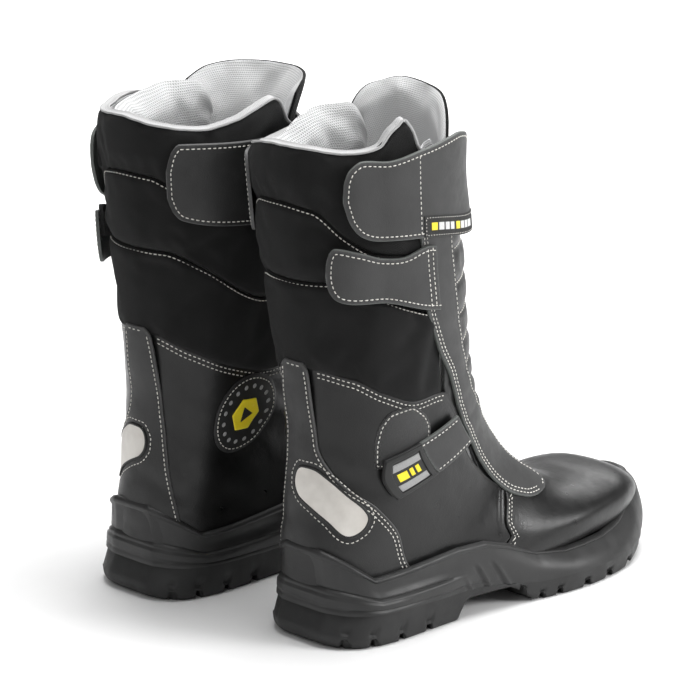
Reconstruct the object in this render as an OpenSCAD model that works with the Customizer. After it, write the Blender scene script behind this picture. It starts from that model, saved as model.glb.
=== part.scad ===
// A pair of high fire boots with three hook-and-loop straps each.
//
// Every panel of a boot lies on one shared surface, the last. A place on it is a section number and
// an angle: sections run from the collar (0) down the shaft, round the ankle and out to the toe (17),
// and the angle runs from the front (0) over the outer side (90) to the back (180) and on over the
// inner side (270, or -90). A height above that surface, the lift, sets how the layers stack.

/* [Boot] */
// Length of the last from heel to toe tip
last_length = 308; // [280:2:330]
// Width of the last across the ball of the foot
last_width = 104; // [96:1:112]
// Height of the last at the back of the collar
last_height = 345; // [310:5:380]

/* [Pair] */
// Distance between the middles of the two boots
boot_pitch = 143; // [135:1:240]
// How far the left boot stands behind the right one
left_setback = 18; // [0:1:60]

/* [Thicknesses] */
// Smooth leather of the foot panels
leather_t = 2; // [1.6:0.1:2.4]
// Leather overlays on top of the panels
overlay_t = 1.6; // [1.2:0.1:2]
// Straps
strap_t = 2; // [1.6:0.1:2.4]
// Padded textile of the shaft
shaft_t = 4.4; // [4:0.1:4.4]
// Textile lining
lining_t = 2; // [1.6:0.1:2.4]
// Padding of the tongue and the collar
pad_t = 5.6; // [4:0.1:6]
// Cushioned footbed
footbed_t = 4; // [3:0.1:5]
// Clearance between layers
gap = 0.4; // [0.3:0.05:0.5]

/* [Shin guard] */
// Number of padded ribs
rib_count = 7; // [5:1:8]
// Height of a rib
rib_h = 2.4; // [1:0.1:3]

/* [Hidden] */
// One section a row, from the collar to the toe tip:
// [back y, back z, front y, front z, middle x, half width, squareness in front, squareness behind]
LAST = [
    [-10, 345, 134, 352, -9, 58, 2.1, 2.1],
    [ -8, 302, 135, 310, -8, 57, 2.1, 2.1],
    [ -3, 255, 136, 266, -7, 55, 2.1, 2.1],
    [  4, 205, 139, 225, -5, 53, 2.1, 2.1],
    [  9, 158, 143, 189, -4, 50, 2.1, 2.1],
    [ 10, 118, 149, 158, -3, 47, 2.1, 2.2],
    [  7,  82, 158, 133, -2, 45, 2.1, 2.3],
    [  5,  50, 170, 112, -1, 43, 2.1, 2.6],
    [ 14,  24, 184,  95,  0, 43, 2.1, 3.0],
    [ 54,  20, 200,  81,  1, 45, 2.1, 3.2],
    [100,  20, 217,  70,  2, 48, 2.1, 3.4],
    [146,  20, 234,  63,  3, 51, 2.2, 3.4],
    [190,  20, 251,  61,  2, 52, 2.3, 3.2],
    [229,  20, 269,  61, -1, 51, 2.4, 3.0],
    [260,  22, 286,  59, -3, 47, 2.4, 2.8],
    [285,  26, 302,  53, -5, 38, 2.3, 2.5],
    [301,  32, 311,  46, -7, 25, 2.1, 2.2],
    [310,  39, 315,  42, -8, 10, 2.0, 2.0]
];
toe = len(LAST) - 1;
proportion = [last_width / 104, last_length / 308, last_height / 345];

// How far one boot reaches behind and in front of its own origin, and half way between
boot_back = -10.2;
boot_front = 325;
boot_middle = (boot_back + boot_front) / 2 * proportion.y;

// Layers, each as [inner lift, outer lift]
skin = 0.4;
PANEL = [skin - leather_t, skin];
BAND = [skin - shaft_t + 0.2, skin + 0.2];
OVERLAY = [skin + gap, skin + gap + overlay_t];
TRIM = [OVERLAY[1] + gap, OVERLAY[1] + gap + 0.6];
STRAP = [OVERLAY[1] + gap + 0.1, OVERLAY[1] + gap + 0.1 + strap_t];
STRAP_TRIM = [STRAP[1] + gap, STRAP[1] + gap + 0.8];
stiffener_t = 1.2;
stiffener_out = PANEL[0] - 2 * gap;
STIFFENER = [stiffener_out - stiffener_t, stiffener_out];
SEWN_ON = [OVERLAY[0] + 1.5 * gap, OVERLAY[1]];
plate_t = 1.2;
PLATE = [skin - 0.7 - plate_t, skin - 0.7];
lining_out = BAND[0] - 2 * gap;
LINING = [lining_out - lining_t, lining_out];
pad_out = LINING[0] - 1;
PAD = [pad_out - pad_t, pad_out];
footbed_out = pad_out - 3;
FOOTBED = [footbed_out - footbed_t, footbed_out];

// Edges of the shaft bands and the foot panels, as [angle, section]
COLLAR_EDGE = [[80, 0.85], [90, 0.5], [94, 0.18], [99, -0.07], [106, 0.08], [114, 0.35], [125, 0.4],
    [137, 0.38], [160, 0.3], [180, 0.28], [200, 0.36], [236, 0.47], [254, 0.4], [266, 0.3],
    [277, 0.2], [283, 0.3], [290, 0.62], [302, 0.8]];
// Top edges of the collar padding and of the tongue
COLLAR_PAD_EDGE = [[50, 1.05], [54, 0.75], [63, 0.57], [82, 0.6], [96, 0.7], [120, 0.55], [160, 0.42],
    [180, 0.4], [220, 0.5], [250, 0.58], [268, 0.54], [283, 0.42], [299, 0.42], [308, 0.55],
    [313, 0.85]];
TONGUE_EDGE = [[-60, 0.75], [-56, 0.35], [-42, 0.07], [-20, -0.08], [0, -0.12], [20, -0.12],
    [40, -0.06], [56, 0.12], [62, 0.4], [65, 0.8]];
UPPER_SEAM = [[80, 2.1], [120, 1.85], [136, 1.58], [156, 1.18], [180, 1.1], [200, 1.13], [212, 1.25],
    [250, 1.75], [302, 1.95]];
LOWER_SEAM = [[80, 3.05], [100, 2.75], [124, 2.43], [150, 2.2], [180, 2.2], [206, 2.22], [230, 2.48],
    [268, 3.2], [302, 3.5]];
LEATHER_EDGE = [[52, 8.2], [56, 7.4], [63, 6.4], [70, 5], [80, 4.43], [100, 4.27], [118, 3.95],
    [140, 3.57], [168, 3.4], [190, 3.4], [222, 3.73], [246, 4.12], [276, 4.6], [302, 4.8], [304, 7],
    [308, 8.2]];
LASTING_EDGE = [[52, 8.4], [56, 8.5], [75, 9.1], [94, 9.9], [140, 10.6], [152, 9.2], [166, 8.7],
    [180, 8.6], [194, 8.7], [208, 9.2], [220, 10.6], [266, 9.9], [285, 9.1], [304, 8.5], [308, 8.4]];
VAMP_EDGE = [[-140, 10.65], [-94, 9.95], [-75, 9.15], [-56, 8.55], [-40, 7.7], [0, 7.1], [40, 7.7],
    [56, 8.55], [75, 9.15], [94, 9.95], [140, 10.65]];
seam_gap = 0.016;

// Sections between which the shin guard is ribbed
rib_first = 2.2;
rib_last = 6;

// Placket: outer and front edges as [section, angle]
PLACKET_OUTER = [[1, 92], [2.7, 91], [3.5, 85], [4.2, 75], [5.2, 67], [6.5, 57], [8, 53], [8.8, 55],
    [9.3, 54], [9.65, 49], [9.85, 40]];
PLACKET_FRONT = [[1, 66], [3, 64], [4.5, 52], [5.5, 38], [6.5, 26], [7.2, 20], [9.2, 20], [9.7, 25],
    [9.85, 31]];

// Backstay: outer and inner edges as [section, angle]
BACKSTAY_OUTER = [[3.3, 173], [3.4, 170], [4.6, 167], [5.1, 156], [6, 124], [7, 108], [7.9, 106]];
BACKSTAY_INNER = [[3.3, 188], [3.4, 193], [4.8, 200], [6, 208], [6.8, 216], [7.9, 224]];
BACKSTAY_LEVELS = [3.3, 3.4, 4, 4.6, 5.1, 5.5, 6, 6.5, 7, 7.4, 7.9];

// Middle and radius of the round badge on the inner side
badge_section = 5.2;
badge_angle = 256;
badge_r = 26;

// Straps: upper and lower edges as [angle, section]
TOP_STRAP_UPPER = [[-148, 1], [-145, 0.75], [-140, 0.63], [-100, 0.7], [-60, 0.8], [-30, 0.9],
    [0, 0.9], [30, 0.75], [50, 0.5], [64, 0.43], [92, 0.47], [110, 0.52], [126, 0.46], [133, 0.56],
    [137, 0.8]];
TOP_STRAP_LOWER = [[-148, 1.4], [-145, 1.6], [-140, 1.73], [-100, 1.95], [-60, 2.1], [0, 2.2],
    [46, 2.08], [92, 1.78], [106, 1.72], [120, 1.66], [128, 1.56], [134, 1.38], [137, 1.15]];
MID_STRAP_UPPER = [[84, 1.93], [90, 1.89], [104, 1.95], [116, 1.9], [130, 1.75], [143, 1.66],
    [146, 1.72], [149, 2]];
MID_STRAP_LOWER = [[84, 2.9], [90, 2.84], [118, 2.52], [140, 2.42], [145, 2.38], [149, 2.18]];
ANKLE_STRAP_LEVELS = [5.05, 5.35, 5.7, 6];
ANKLE_STRAP_FOLD = [[5.05, 73], [6, 63]];
ANKLE_STRAP_JOIN = [[5.05, 99.6], [6, 89.6]];
ANKLE_TAB_END = [[5.05, 122], [5.35, 123], [5.7, 119], [6, 113]];
strap_fold = -30;
tip_fold = 92;
mid_fold = 84;
fold_gap = 0.6;

// Sole outline at the ground and at the lip, as [y, outer half width, inner half width]
SOLE = [[0, 15, 12], [2, 25, 20], [8, 36, 30], [20, 45, 38], [40, 49, 42], [70, 49, 42],
    [100, 49, 41], [130, 52, 42], [160, 58, 45], [190, 63, 49], [215, 64, 52], [240, 61, 54],
    [262, 55, 54], [282, 45, 50], [300, 31, 41], [312, 17, 31], [320, 3, 20]];
LIP = [[0, 14, 11], [2, 22, 18], [8, 31, 27], [20, 40, 36], [40, 45, 43], [70, 48, 45],
    [100, 50, 45], [130, 51, 45], [160, 52, 46], [190, 53, 47], [215, 53, 49], [240, 50, 50],
    [262, 45, 50], [282, 35, 45], [300, 21, 35], [312, 9, 26], [320, -2, 16]];
sole_table_length = 320;

// Heights along the sole, as [y, z]: tread, tread corner, joint of the two parts, lip
TREAD_Z = [[0, 0], [104, 0], [110, 13], [150, 13], [164, 0], [266, 0], [300, 5], [320, 13]];
CORNER_Z = [[-9, 14], [20, 8], [50, 4], [104, 4], [110, 16], [150, 16], [164, 4], [266, 4],
    [300, 9], [320, 17]];
JOINT_Z = [[-9, 24], [100, 20], [130, 18], [170, 13], [266, 12], [300, 15], [320, 20]];
LIP_Z = [[-6, 66], [2, 65], [12, 58], [30, 45], [56, 47], [100, 51], [125, 50], [145, 44],
    [172, 33], [200, 28], [240, 28], [262, 32], [284, 40], [305, 45], [322, 47]];

HEEL_GROOVES = [30, 52, 74];
BALL_GROOVES = [178, 200, 222, 244, 266];
groove_w = 7;
groove_depth = 6;
groove_taper = 2;
groove_skew = 8;
groove_inner_x = 10;
groove_outer_x = 70;

// Slanting ribs on the wall at the arch: places along the sole, upper and lower [x, z], and size
ARCH_RIBS = [118, 128, 138];
arch_rib_upper = [47, 30];
arch_rib_lower = [46.5, 22];
arch_rib_slant = 7;
arch_rib_size = [4, 3, 2];

// The groove round the heel: first and last y, length of its straight pieces, height and size
heel_groove_from = 10;
heel_groove_to = 90;
heel_groove_step = 16;
heel_groove_z = 31;
heel_groove_size = [6, 0.1, 2];

shank_size = [16, 96, 1.6];
shank_y = 62;
shank_z = 17;
shank_room = 10;

SIDES = ["right", "left"];
PIECES = [
    "outsole", "midsole", "shank", "penetration_plate", "insole_board", "footbed",
    "toe_cap", "heel_stiffener", "vamp", "quarter_lateral", "quarter_medial",
    "backstay", "reflector", "medial_badge",
    "shaft_lower_band", "shaft_middle_band", "shaft_upper_band",
    "lining", "collar_pad", "tongue", "shin_guard", "placket", "loop_pads",
    "top_strap_base", "top_strap", "top_strap_tip", "top_strap_label",
    "mid_strap", "ankle_strap", "ankle_strap_tab"
];

// ---- The last ----

// Smooth curve through b and c, with a and d as their outer neighbours
function blend(a, b, c, d, t) =
    0.5 * (2 * b + (c - a) * t + (2 * a - 5 * b + 4 * c - d) * t * t
    + (3 * b - a - 3 * c + d) * t * t * t);

function last_row(i) = LAST[max(0, min(toe, i))];

// Section s of the last, continued upwards in a straight line above the collar
function section(s) =
    s < 0 ? LAST[0] + s * (LAST[1] - LAST[0])
    : let (i = min(floor(s), toe - 1))
      blend(last_row(i - 1), last_row(i), last_row(i + 1), last_row(i + 2), s - i);

function squared(v, n) = sign(v) * pow(abs(v), 2 / n);

// Point at a section, an angle and a lift
function on_last(s, angle, lift) = let (
    row = section(s),
    n = cos(angle) < 0 ? row[7] : row[6],
    middle = [row[0] + row[2], row[1] + row[3]] / 2,
    half = [row[2] - row[0], row[3] - row[1]] / 2,
    along = squared(cos(angle), n) * (1 + lift / norm(half)),
    across = squared(sin(angle), n) * (row[5] + lift))
    [(row[4] + across) * proportion.x,
     (middle[0] + half[0] * along) * proportion.y,
     (middle[1] + half[1] * along) * proportion.z];

// Size in mm of one section and of one degree at a place on the last
function section_size(s, angle) = norm(on_last(s + 0.1, angle, 0) - on_last(s - 0.1, angle, 0)) / 0.2;
function degree_size(s, angle) = norm(on_last(s, angle + 1, 0) - on_last(s, angle - 1, 0)) / 2;

// ---- Grids of [section, angle, rise], rows downwards and columns by growing angle ----

function steps(from, to, n) = [for (i = [0:n]) from + (to - from) * i / n];
function mix(a, b, t) = a + (b - a) * t;

// Between two edges given as [angle, section], with n rows of cells
function sheet_grid(angles, upper, lower, n) =
    [for (t = steps(0, 1, n)) [for (a = angles) [mix(lookup(a, upper), lookup(a, lower), t), a, 0]]];

// Between two edges given as [section, angle], with n columns of cells
function strip_grid(levels, front, back, n) =
    [for (s = levels) [for (t = steps(0, 1, n)) [s, mix(lookup(s, front), lookup(s, back), t), 0]]];

// A round patch of radius r about a place, with its columns at these turns about it
function disc_grid(s0, angle0, r, n) = let (
    ds = 1 / section_size(s0, angle0),
    da = 1 / degree_size(s0, angle0),
    turns = [-78, -60, -40, -20, 0, 20, 40, 60, 78])
    [for (t = steps(-1, 1, n)) [for (u = turns)
        [s0 + t * r * cos(u) * ds, angle0 + r * sin(u) * da, 0]]];

function shifted(edge, by) = [for (p = edge) [p[0], p[1] + by]];

// ---- Solids on the last ----

// The two triangles of a cell, seen clockwise from outside
function cell(a, b, c, d) = [[a, d, c], [a, c, b]];

function grid_points(grid, lift, rise) =
    [for (row = grid) for (p = row) on_last(p[0], p[1], lift + rise * p[2])];

// A panel with four edges: the grid at the outer and the inner lift, closed round its edges
module panel(grid, layer) {
    rows = len(grid);
    columns = len(grid[0]);
    inner = rows * columns;
    points = concat(grid_points(grid, layer[1], 1), grid_points(grid, layer[0], 0));
    faces = concat(
        [for (i = [0:rows - 2], j = [0:columns - 2]) let (a = i * columns + j)
            each cell(a, a + 1, a + columns + 1, a + columns)],
        [for (i = [0:rows - 2], j = [0:columns - 2]) let (a = inner + i * columns + j)
            each cell(a, a + columns, a + columns + 1, a + 1)],
        [for (j = [0:columns - 2]) each cell(j, j + inner, j + 1 + inner, j + 1)],
        [for (j = [0:columns - 2]) let (a = (rows - 1) * columns + j)
            each cell(a + 1, a + 1 + inner, a + inner, a)],
        [for (i = [0:rows - 2]) let (a = i * columns)
            each cell(a + columns, a + columns + inner, a + inner, a)],
        [for (i = [0:rows - 2]) let (a = i * columns + columns - 1)
            each cell(a, a + inner, a + columns + inner, a + columns)]);
    polyhedron(points, faces);
}

// Rings of [section, angle], open at the first and closed at the toe
module sock(grid, layer) {
    rows = len(grid);
    columns = len(grid[0]);
    inner = rows * columns;
    last = (rows - 1) * columns;
    points = concat(grid_points(grid, layer[1], 1), grid_points(grid, layer[0], 0));
    faces = concat(
        [for (i = [0:rows - 2], j = [0:columns - 1])
            let (a = i * columns + j, b = i * columns + (j + 1) % columns)
            each cell(a, b, b + columns, a + columns)],
        [for (i = [0:rows - 2], j = [0:columns - 1])
            let (a = inner + i * columns + j, b = inner + i * columns + (j + 1) % columns)
            each cell(a, a + columns, b + columns, b)],
        [for (j = [0:columns - 1]) let (b = (j + 1) % columns) each cell(j, j + inner, b + inner, b)],
        [[for (j = [columns - 1:-1:0]) last + j]],
        [[for (j = [0:columns - 1]) inner + last + j]]);
    polyhedron(points, faces);
}

// The last itself below a section, grown by a lift
module last_solid(from, lift) {
    columns = 36;
    levels = steps(from, toe, 2 * (toe - from));
    rows = len(levels);
    points = [for (s = levels, j = [0:columns - 1]) on_last(s, j * 360 / columns, lift)];
    faces = concat(
        [for (i = [0:rows - 2], j = [0:columns - 1])
            let (a = i * columns + j, b = i * columns + (j + 1) % columns)
            each cell(a, b, b + columns, a + columns)],
        [[for (j = [0:columns - 1]) j]],
        [[for (j = [columns - 1:-1:0]) (rows - 1) * columns + j]]);
    polyhedron(points, faces);
}

// ---- Sole ----

// One closed ring of the sole: outline, widening, first and last y, heights, and a rise above them
function sole_ring(outline, grow, y0, y1, heights, rise) = let (
    at = [for (p = outline) mix(y0, y1, p[0] / sole_table_length)],
    n = len(outline))
    concat(
        [for (i = [0:n - 1]) [outline[i][1] + grow, at[i], lookup(at[i], heights) + rise]],
        [for (i = [n - 1:-1:0]) [-outline[i][2] - grow, at[i], lookup(at[i], heights) + rise]]);

// Half way between two rings, pushed outwards at the sides
function between(low, high, t, out) =
    [for (i = [0:len(low) - 1]) mix(low[i], high[i], t) + [out * sign(low[i].x), 0, 0]];

// A solid through closed rings from the lowest to the highest, capped by strips across
module loft(rings) {
    n = len(rings[0]);
    m = len(rings);
    top = (m - 1) * n;
    points = [for (ring = rings) for (p = ring)
        [p.x * proportion.x, p.y * proportion.y, p.z * proportion.z]];
    faces = concat(
        [for (k = [0:m - 2], i = [0:n - 1]) let (a = k * n + i, b = k * n + (i + 1) % n)
            each cell(a, b, b + n, a + n)],
        [for (i = [0:n / 2 - 2]) each cell(n - 1 - i, n - 2 - i, i + 1, i)],
        [for (i = [0:n / 2 - 2]) each cell(top + i, top + i + 1, top + n - 2 - i, top + n - 1 - i)]);
    polyhedron(points, faces);
}

JOINT_RING = sole_ring(SOLE, 1, 5, boot_front, JOINT_Z, 0);
LIP_RING = sole_ring(LIP, 0, 2, 319, LIP_Z, 0);

// A groove across the tread from one edge towards the middle, narrower at its root
module tread_groove(y, side) {
    thin = 0.1;
    hull() {
        translate([side * groove_inner_x, y + groove_skew, -1])
            cube([thin, groove_w, groove_depth], center = true);
        translate([side * groove_inner_x, y + groove_skew, 1])
            cube([thin, groove_w - 2 * groove_taper, groove_depth], center = true);
        translate([side * groove_outer_x, y, -1])
            cube([thin, groove_w + groove_taper, groove_depth * 2], center = true);
    }
}

module outsole() {
    color([0.09, 0.09, 0.1]) difference() {
        loft([
            sole_ring(SOLE, -1.5, 4, 323, TREAD_Z, 0),
            sole_ring(SOLE, 0.5, -1, 324.5, CORNER_Z, 0),
            JOINT_RING]);
        foot_room();
        for (y = concat(HEEL_GROOVES, BALL_GROOVES), side = [-1, 1]) {
            tread_groove(y * proportion.y, side);
        }
    }
}

// Room for the foot of the upper, and below it for the shank
module foot_room() {
    last_solid(5, skin + 4.5 * gap);
    translate([-shank_size.x / 2 - gap, shank_y - gap, shank_z - gap])
        cube([shank_size.x + 2 * gap, shank_size.y + 2 * gap, shank_room]);
}

// A raised slanting rib on the side wall at the arch
module arch_rib(y, side) {
    hull() {
        translate([side * arch_rib_upper[0], y, arch_rib_upper[1]]) cube(arch_rib_size, center = true);
        translate([side * arch_rib_lower[0], y + arch_rib_slant, arch_rib_lower[1]])
            cube(arch_rib_size, center = true);
    }
}

module midsole() {
    color([0.11, 0.11, 0.12]) difference() {
        union() {
            loft([
                JOINT_RING,
                between(JOINT_RING, LIP_RING, 0.4, 2),
                between(JOINT_RING, LIP_RING, 0.85, 1.5),
                LIP_RING]);
            for (y = ARCH_RIBS, side = [-1, 1]) {
                arch_rib(y * proportion.y, side * proportion.x);
            }
        }
        foot_room();
        panel(strip_grid(BACKSTAY_LEVELS, shifted(BACKSTAY_OUTER, -2), shifted(BACKSTAY_INNER, 2), 13),
            [0, OVERLAY[1] + 2 * gap]);
        // A groove round the heel
        for (y = [heel_groove_from:heel_groove_step:heel_groove_to], side = [-1, 1]) {
            heel_groove(y * proportion.y, side);
        }
    }
}

// One straight piece of the groove that runs along the side of the heel
module heel_groove(y, side) {
    reach = 2;
    ends = [y, y + heel_groove_step * proportion.y];
    hull() {
        for (end = ends) {
            translate([side * (groove_x(end, side) + reach), end, heel_groove_z])
                cube(heel_groove_size, center = true);
        }
    }
}

// Half width of the side wall at the heel groove
function groove_x(y, side) = let (
    column = side > 0 ? 1 : 2,
    widths = [for (p = SOLE) [p[0], p[column]]])
    (lookup(y / proportion.y, widths) + 3) * proportion.x;

module shank() {
    color([0.6, 0.62, 0.65]) translate([-shank_size.x / 2, shank_y, shank_z]) cube(shank_size);
}

module penetration_plate() {
    edge = [[150, 9.4], [210, 9.4]];
    tip = [[150, 15], [210, 15]];
    color([0.75, 0.72, 0.55]) panel(sheet_grid(steps(150, 210, 6), edge, tip, 8), PLATE);
}

module insole_board() {
    edge = [[148, 8.9], [180, 8.5], [212, 8.9]];
    tip = [[148, 15.4], [180, 15.8], [212, 15.4]];
    color([0.8, 0.7, 0.5]) panel(sheet_grid(steps(148, 212, 6), edge, tip, 9), STIFFENER);
}

module footbed() {
    edge = [[136, 8.3], [180, 7.9], [224, 8.3]];
    tip = [[136, 15], [180, 15.5], [224, 15]];
    color([0.3, 0.31, 0.34]) panel(sheet_grid(steps(136, 224, 8), edge, tip, 10), FOOTBED);
}

// ---- Foot ----

module toe_cap() {
    edge = [[-132, 14.2], [-60, 13.6], [0, 13.4], [60, 13.6], [132, 14.2]];
    tip = [[-132, 16.8], [132, 16.8]];
    color([0.5, 0.52, 0.55]) panel(sheet_grid(steps(-132, 132, 20), edge, tip, 5), STIFFENER);
}

module heel_stiffener() {
    edge = [[120, 6.4], [140, 5.7], [180, 5.2], [220, 5.7], [240, 6.4]];
    base = [[120, 8], [240, 8]];
    color([0.7, 0.7, 0.68]) panel(sheet_grid(steps(120, 240, 12), edge, base, 6), STIFFENER);
}

module vamp() {
    tip = [[-140, 17], [140, 17]];
    color([0.07, 0.07, 0.075]) panel(sheet_grid(steps(-140, 140, 20), VAMP_EDGE, tip, 15), PANEL);
}

module quarter(angles) {
    color([0.07, 0.07, 0.075]) panel(sheet_grid(angles, LEATHER_EDGE, LASTING_EDGE, 14), PANEL);
}

module quarter_lateral() {
    quarter([53, 56, 62, 70, 80, 91, 102, 113, 124, 136, 148, 159, 170, 179.6]);
}

module quarter_medial() {
    quarter([180.4, 190, 201, 212, 224, 236, 247, 258, 269, 280, 291, 302, 304, 307]);
}

module backstay() {
    grid = strip_grid(BACKSTAY_LEVELS, BACKSTAY_OUTER, BACKSTAY_INNER, 13);
    color([0.1, 0.1, 0.11]) panel(grid, SEWN_ON);
}

module reflector() {
    upper = [[129, 6.08], [132, 5.9], [144, 5.55], [158, 5.2], [172, 5], [181, 5], [186, 5.2]];
    lower = [[129, 6.25], [132, 6.36], [140, 6.42], [160, 5.95], [172, 5.72], [181, 5.58], [186, 5.42]];
    color([0.85, 0.84, 0.8])
        panel(sheet_grid([129, 132, 140, 149, 158, 166, 174, 181, 186], upper, lower, 2), TRIM);
}

module medial_badge() {
    color([0.14, 0.14, 0.15]) panel(disc_grid(badge_section, badge_angle, badge_r, 6), OVERLAY);
}

// ---- Shaft ----

SHAFT_ANGLES = [80, 88, 94, 100, 108, 120, 132, 144, 156, 168, 180, 191, 202, 213, 224, 236, 248, 259,
    270, 281, 290, 302];

module shaft_band(upper, lower, tint) {
    color(tint) panel(sheet_grid(SHAFT_ANGLES, shifted(upper, seam_gap), lower, 2), BAND);
}

module shaft_upper_band() { shaft_band(COLLAR_EDGE, UPPER_SEAM, [0.05, 0.05, 0.055]); }
module shaft_middle_band() { shaft_band(UPPER_SEAM, LOWER_SEAM, [0.06, 0.06, 0.065]); }
module shaft_lower_band() { shaft_band(LOWER_SEAM, shifted(LEATHER_EDGE, -seam_gap), [0.05, 0.05, 0.055]); }

// The lining's top edge is a little below the collar, and lower still behind the straps in front
function lining_top(angle) =
    angle > 80 && angle < 302 ? max(0.12, lookup(angle, COLLAR_EDGE) + 0.06) : 1;

module lining() {
    columns = 24;
    rows = 21;
    grid = [for (i = [0:rows - 1]) [for (j = [0:columns - 1]) let (a = 360 * j / columns)
        [mix(lining_top(a), toe, i / (rows - 1)), a, 0]]];
    color([0.75, 0.76, 0.78]) sock(grid, LINING);
}

module collar_pad() {
    // Near its ends the padding lies inside the edges of the tongue
    tuck = PAD[1] - PAD[0] + gap;
    low = 1.5;
    tucked_before = 72;
    tucked_after = 290;
    angles = concat([50, 54, 60, 68, 76], steps(86, 276, 15), [286, 293, 301, 308, 313]);
    grid = sheet_grid(angles, COLLAR_PAD_EDGE, [[50, low], [313, low]], 2);
    tucked = [for (row = grid) [for (p = row)
        [p[0], p[1], p[1] < tucked_before || p[1] > tucked_after ? -tuck : 0]]];
    color([0.8, 0.81, 0.83]) panel(tucked, [PAD[0] - tuck, PAD[1]]);
}

module tongue() {
    lower = [[-60, 6], [0, 6.6], [65, 6]];
    angles = [-60, -56, -42, -28, -14, 0, 14, 28, 42, 56, 62, 65];
    color([0.7, 0.71, 0.73]) panel(sheet_grid(angles, TONGUE_EDGE, lower, 6), PAD);
}

// Outer side edge of the shin guard, clear of the leather below it, as [section, angle]
GUARD_SIDE = [[4, 78], [4.5, 71], [5, 66], [5.7, 61], [6.4, 50]];
guard_side_first = 44;

// Angle of a column of the guard, drawn in towards its outer side edge
function guard_angle(s, angle) =
    angle < guard_side_first ? angle
    : mix(guard_side_first, lookup(s, GUARD_SIDE), (angle - guard_side_first) / (78 - guard_side_first));

// Ribs across the front, fading out towards the side edges of the guard and ending at the placket
function rib(s, angle) = let (
    inside = s > rib_first && s < rib_last && angle + 15 < lookup(s, PLACKET_FRONT) ? 1 : 0,
    fade = max(0, cos((angle - 4) * 90 / 62)))
    inside * rib_h * abs(sin((s - rib_first) / (rib_last - rib_first) * 180 * rib_count)) * fade;

module shin_guard() {
    levels = concat([0.8, 1.5], steps(rib_first, rib_last, 2 * rib_count), [6.4, 6.8]);
    angles = [-55, -44, -30, -15, 0, 15, 30, 44, 56, 67, 78];
    grid = [for (s = levels) [for (a = angles) [s, guard_angle(s, a), rib(s, a)]]];
    color([0.08, 0.08, 0.085]) panel(grid, BAND);
}

module placket() {
    levels = [1, 1.6, 2.2, 2.7, 3.1, 3.5, 4, 4.5, 5, 5.5, 6, 6.5, 7, 7.6, 8.2, 8.8, 9.2, 9.4, 9.7, 9.85];
    color([0.12, 0.12, 0.13]) panel(strip_grid(levels, PLACKET_FRONT, PLACKET_OUTER, 4), SEWN_ON);
}

// ---- Closures ----

module strap_piece(angles, upper, lower) {
    color([0.16, 0.16, 0.17]) panel(sheet_grid(angles, upper, lower, 3), STRAP);
}

module top_strap_base() {
    angles = concat([-148, -145], steps(-140, strap_fold - fold_gap, 10));
    color([0.1, 0.1, 0.11]) panel(sheet_grid(angles, TOP_STRAP_UPPER, TOP_STRAP_LOWER, 3), STRAP);
}

module top_strap() {
    strap_piece(steps(strap_fold + fold_gap, tip_fold - fold_gap, 11), TOP_STRAP_UPPER, TOP_STRAP_LOWER);
}

module top_strap_tip() {
    strap_piece([tip_fold + fold_gap, 99, 106, 113, 120, 127, 133, 137], TOP_STRAP_UPPER, TOP_STRAP_LOWER);
}

module top_strap_label() {
    lower = shifted(TOP_STRAP_LOWER, -0.02);
    color([0.2, 0.2, 0.2])
        panel(sheet_grid(steps(34, 91, 6), shifted(lower, -0.3), lower, 1), STRAP_TRIM);
}

module mid_strap() {
    angles = [mid_fold, 90, 97, 104, 111, 118, 124, 130, 137, 143, 146, 149];
    strap_piece(angles, MID_STRAP_UPPER, MID_STRAP_LOWER);
}

module ankle_strap() {
    color([0.14, 0.14, 0.15])
        panel(strip_grid(ANKLE_STRAP_LEVELS, ANKLE_STRAP_FOLD, ANKLE_STRAP_JOIN, 3), STRAP);
}

module ankle_strap_tab() {
    thick = [STRAP[0], STRAP[1] + 0.6];
    color([0.2, 0.2, 0.2])
        panel(strip_grid(ANKLE_STRAP_LEVELS, shifted(ANKLE_STRAP_JOIN, 0.4), ANKLE_TAB_END, 3), thick);
}

module loop_pads() {
    ankle_upper = [[91, 4.8], [95, 4.55], [104, 4.32], [118, 4.28], [124, 4.45], [127, 4.75]];
    ankle_lower = [[91, 5.6], [127, 5.2]];
    color([0.05, 0.05, 0.05]) {
        panel(sheet_grid([96, 106, 116, 126, 132], shifted(TOP_STRAP_UPPER, 0.15),
            shifted(TOP_STRAP_LOWER, -0.15), 2), OVERLAY);
        panel(sheet_grid([96, 106, 116, 126, 136, 142], shifted(MID_STRAP_UPPER, 0.12),
            shifted(MID_STRAP_LOWER, -0.12), 2), OVERLAY);
        panel(sheet_grid([91, 95, 104, 111, 118, 124, 127], ankle_upper, ankle_lower, 3), OVERLAY);
    }
}

// ---- The pair ----

module piece(name) {
    if (name == "outsole") outsole();
    if (name == "midsole") midsole();
    if (name == "shank") shank();
    if (name == "penetration_plate") penetration_plate();
    if (name == "insole_board") insole_board();
    if (name == "footbed") footbed();
    if (name == "toe_cap") toe_cap();
    if (name == "heel_stiffener") heel_stiffener();
    if (name == "vamp") vamp();
    if (name == "quarter_lateral") quarter_lateral();
    if (name == "quarter_medial") quarter_medial();
    if (name == "backstay") backstay();
    if (name == "reflector") reflector();
    if (name == "medial_badge") medial_badge();
    if (name == "shaft_lower_band") shaft_lower_band();
    if (name == "shaft_middle_band") shaft_middle_band();
    if (name == "shaft_upper_band") shaft_upper_band();
    if (name == "lining") lining();
    if (name == "collar_pad") collar_pad();
    if (name == "tongue") tongue();
    if (name == "shin_guard") shin_guard();
    if (name == "placket") placket();
    if (name == "loop_pads") loop_pads();
    if (name == "top_strap_base") top_strap_base();
    if (name == "top_strap") top_strap();
    if (name == "top_strap_tip") top_strap_tip();
    if (name == "top_strap_label") top_strap_label();
    if (name == "mid_strap") mid_strap();
    if (name == "ankle_strap") ankle_strap();
    if (name == "ankle_strap_tab") ankle_strap_tab();
}

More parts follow.
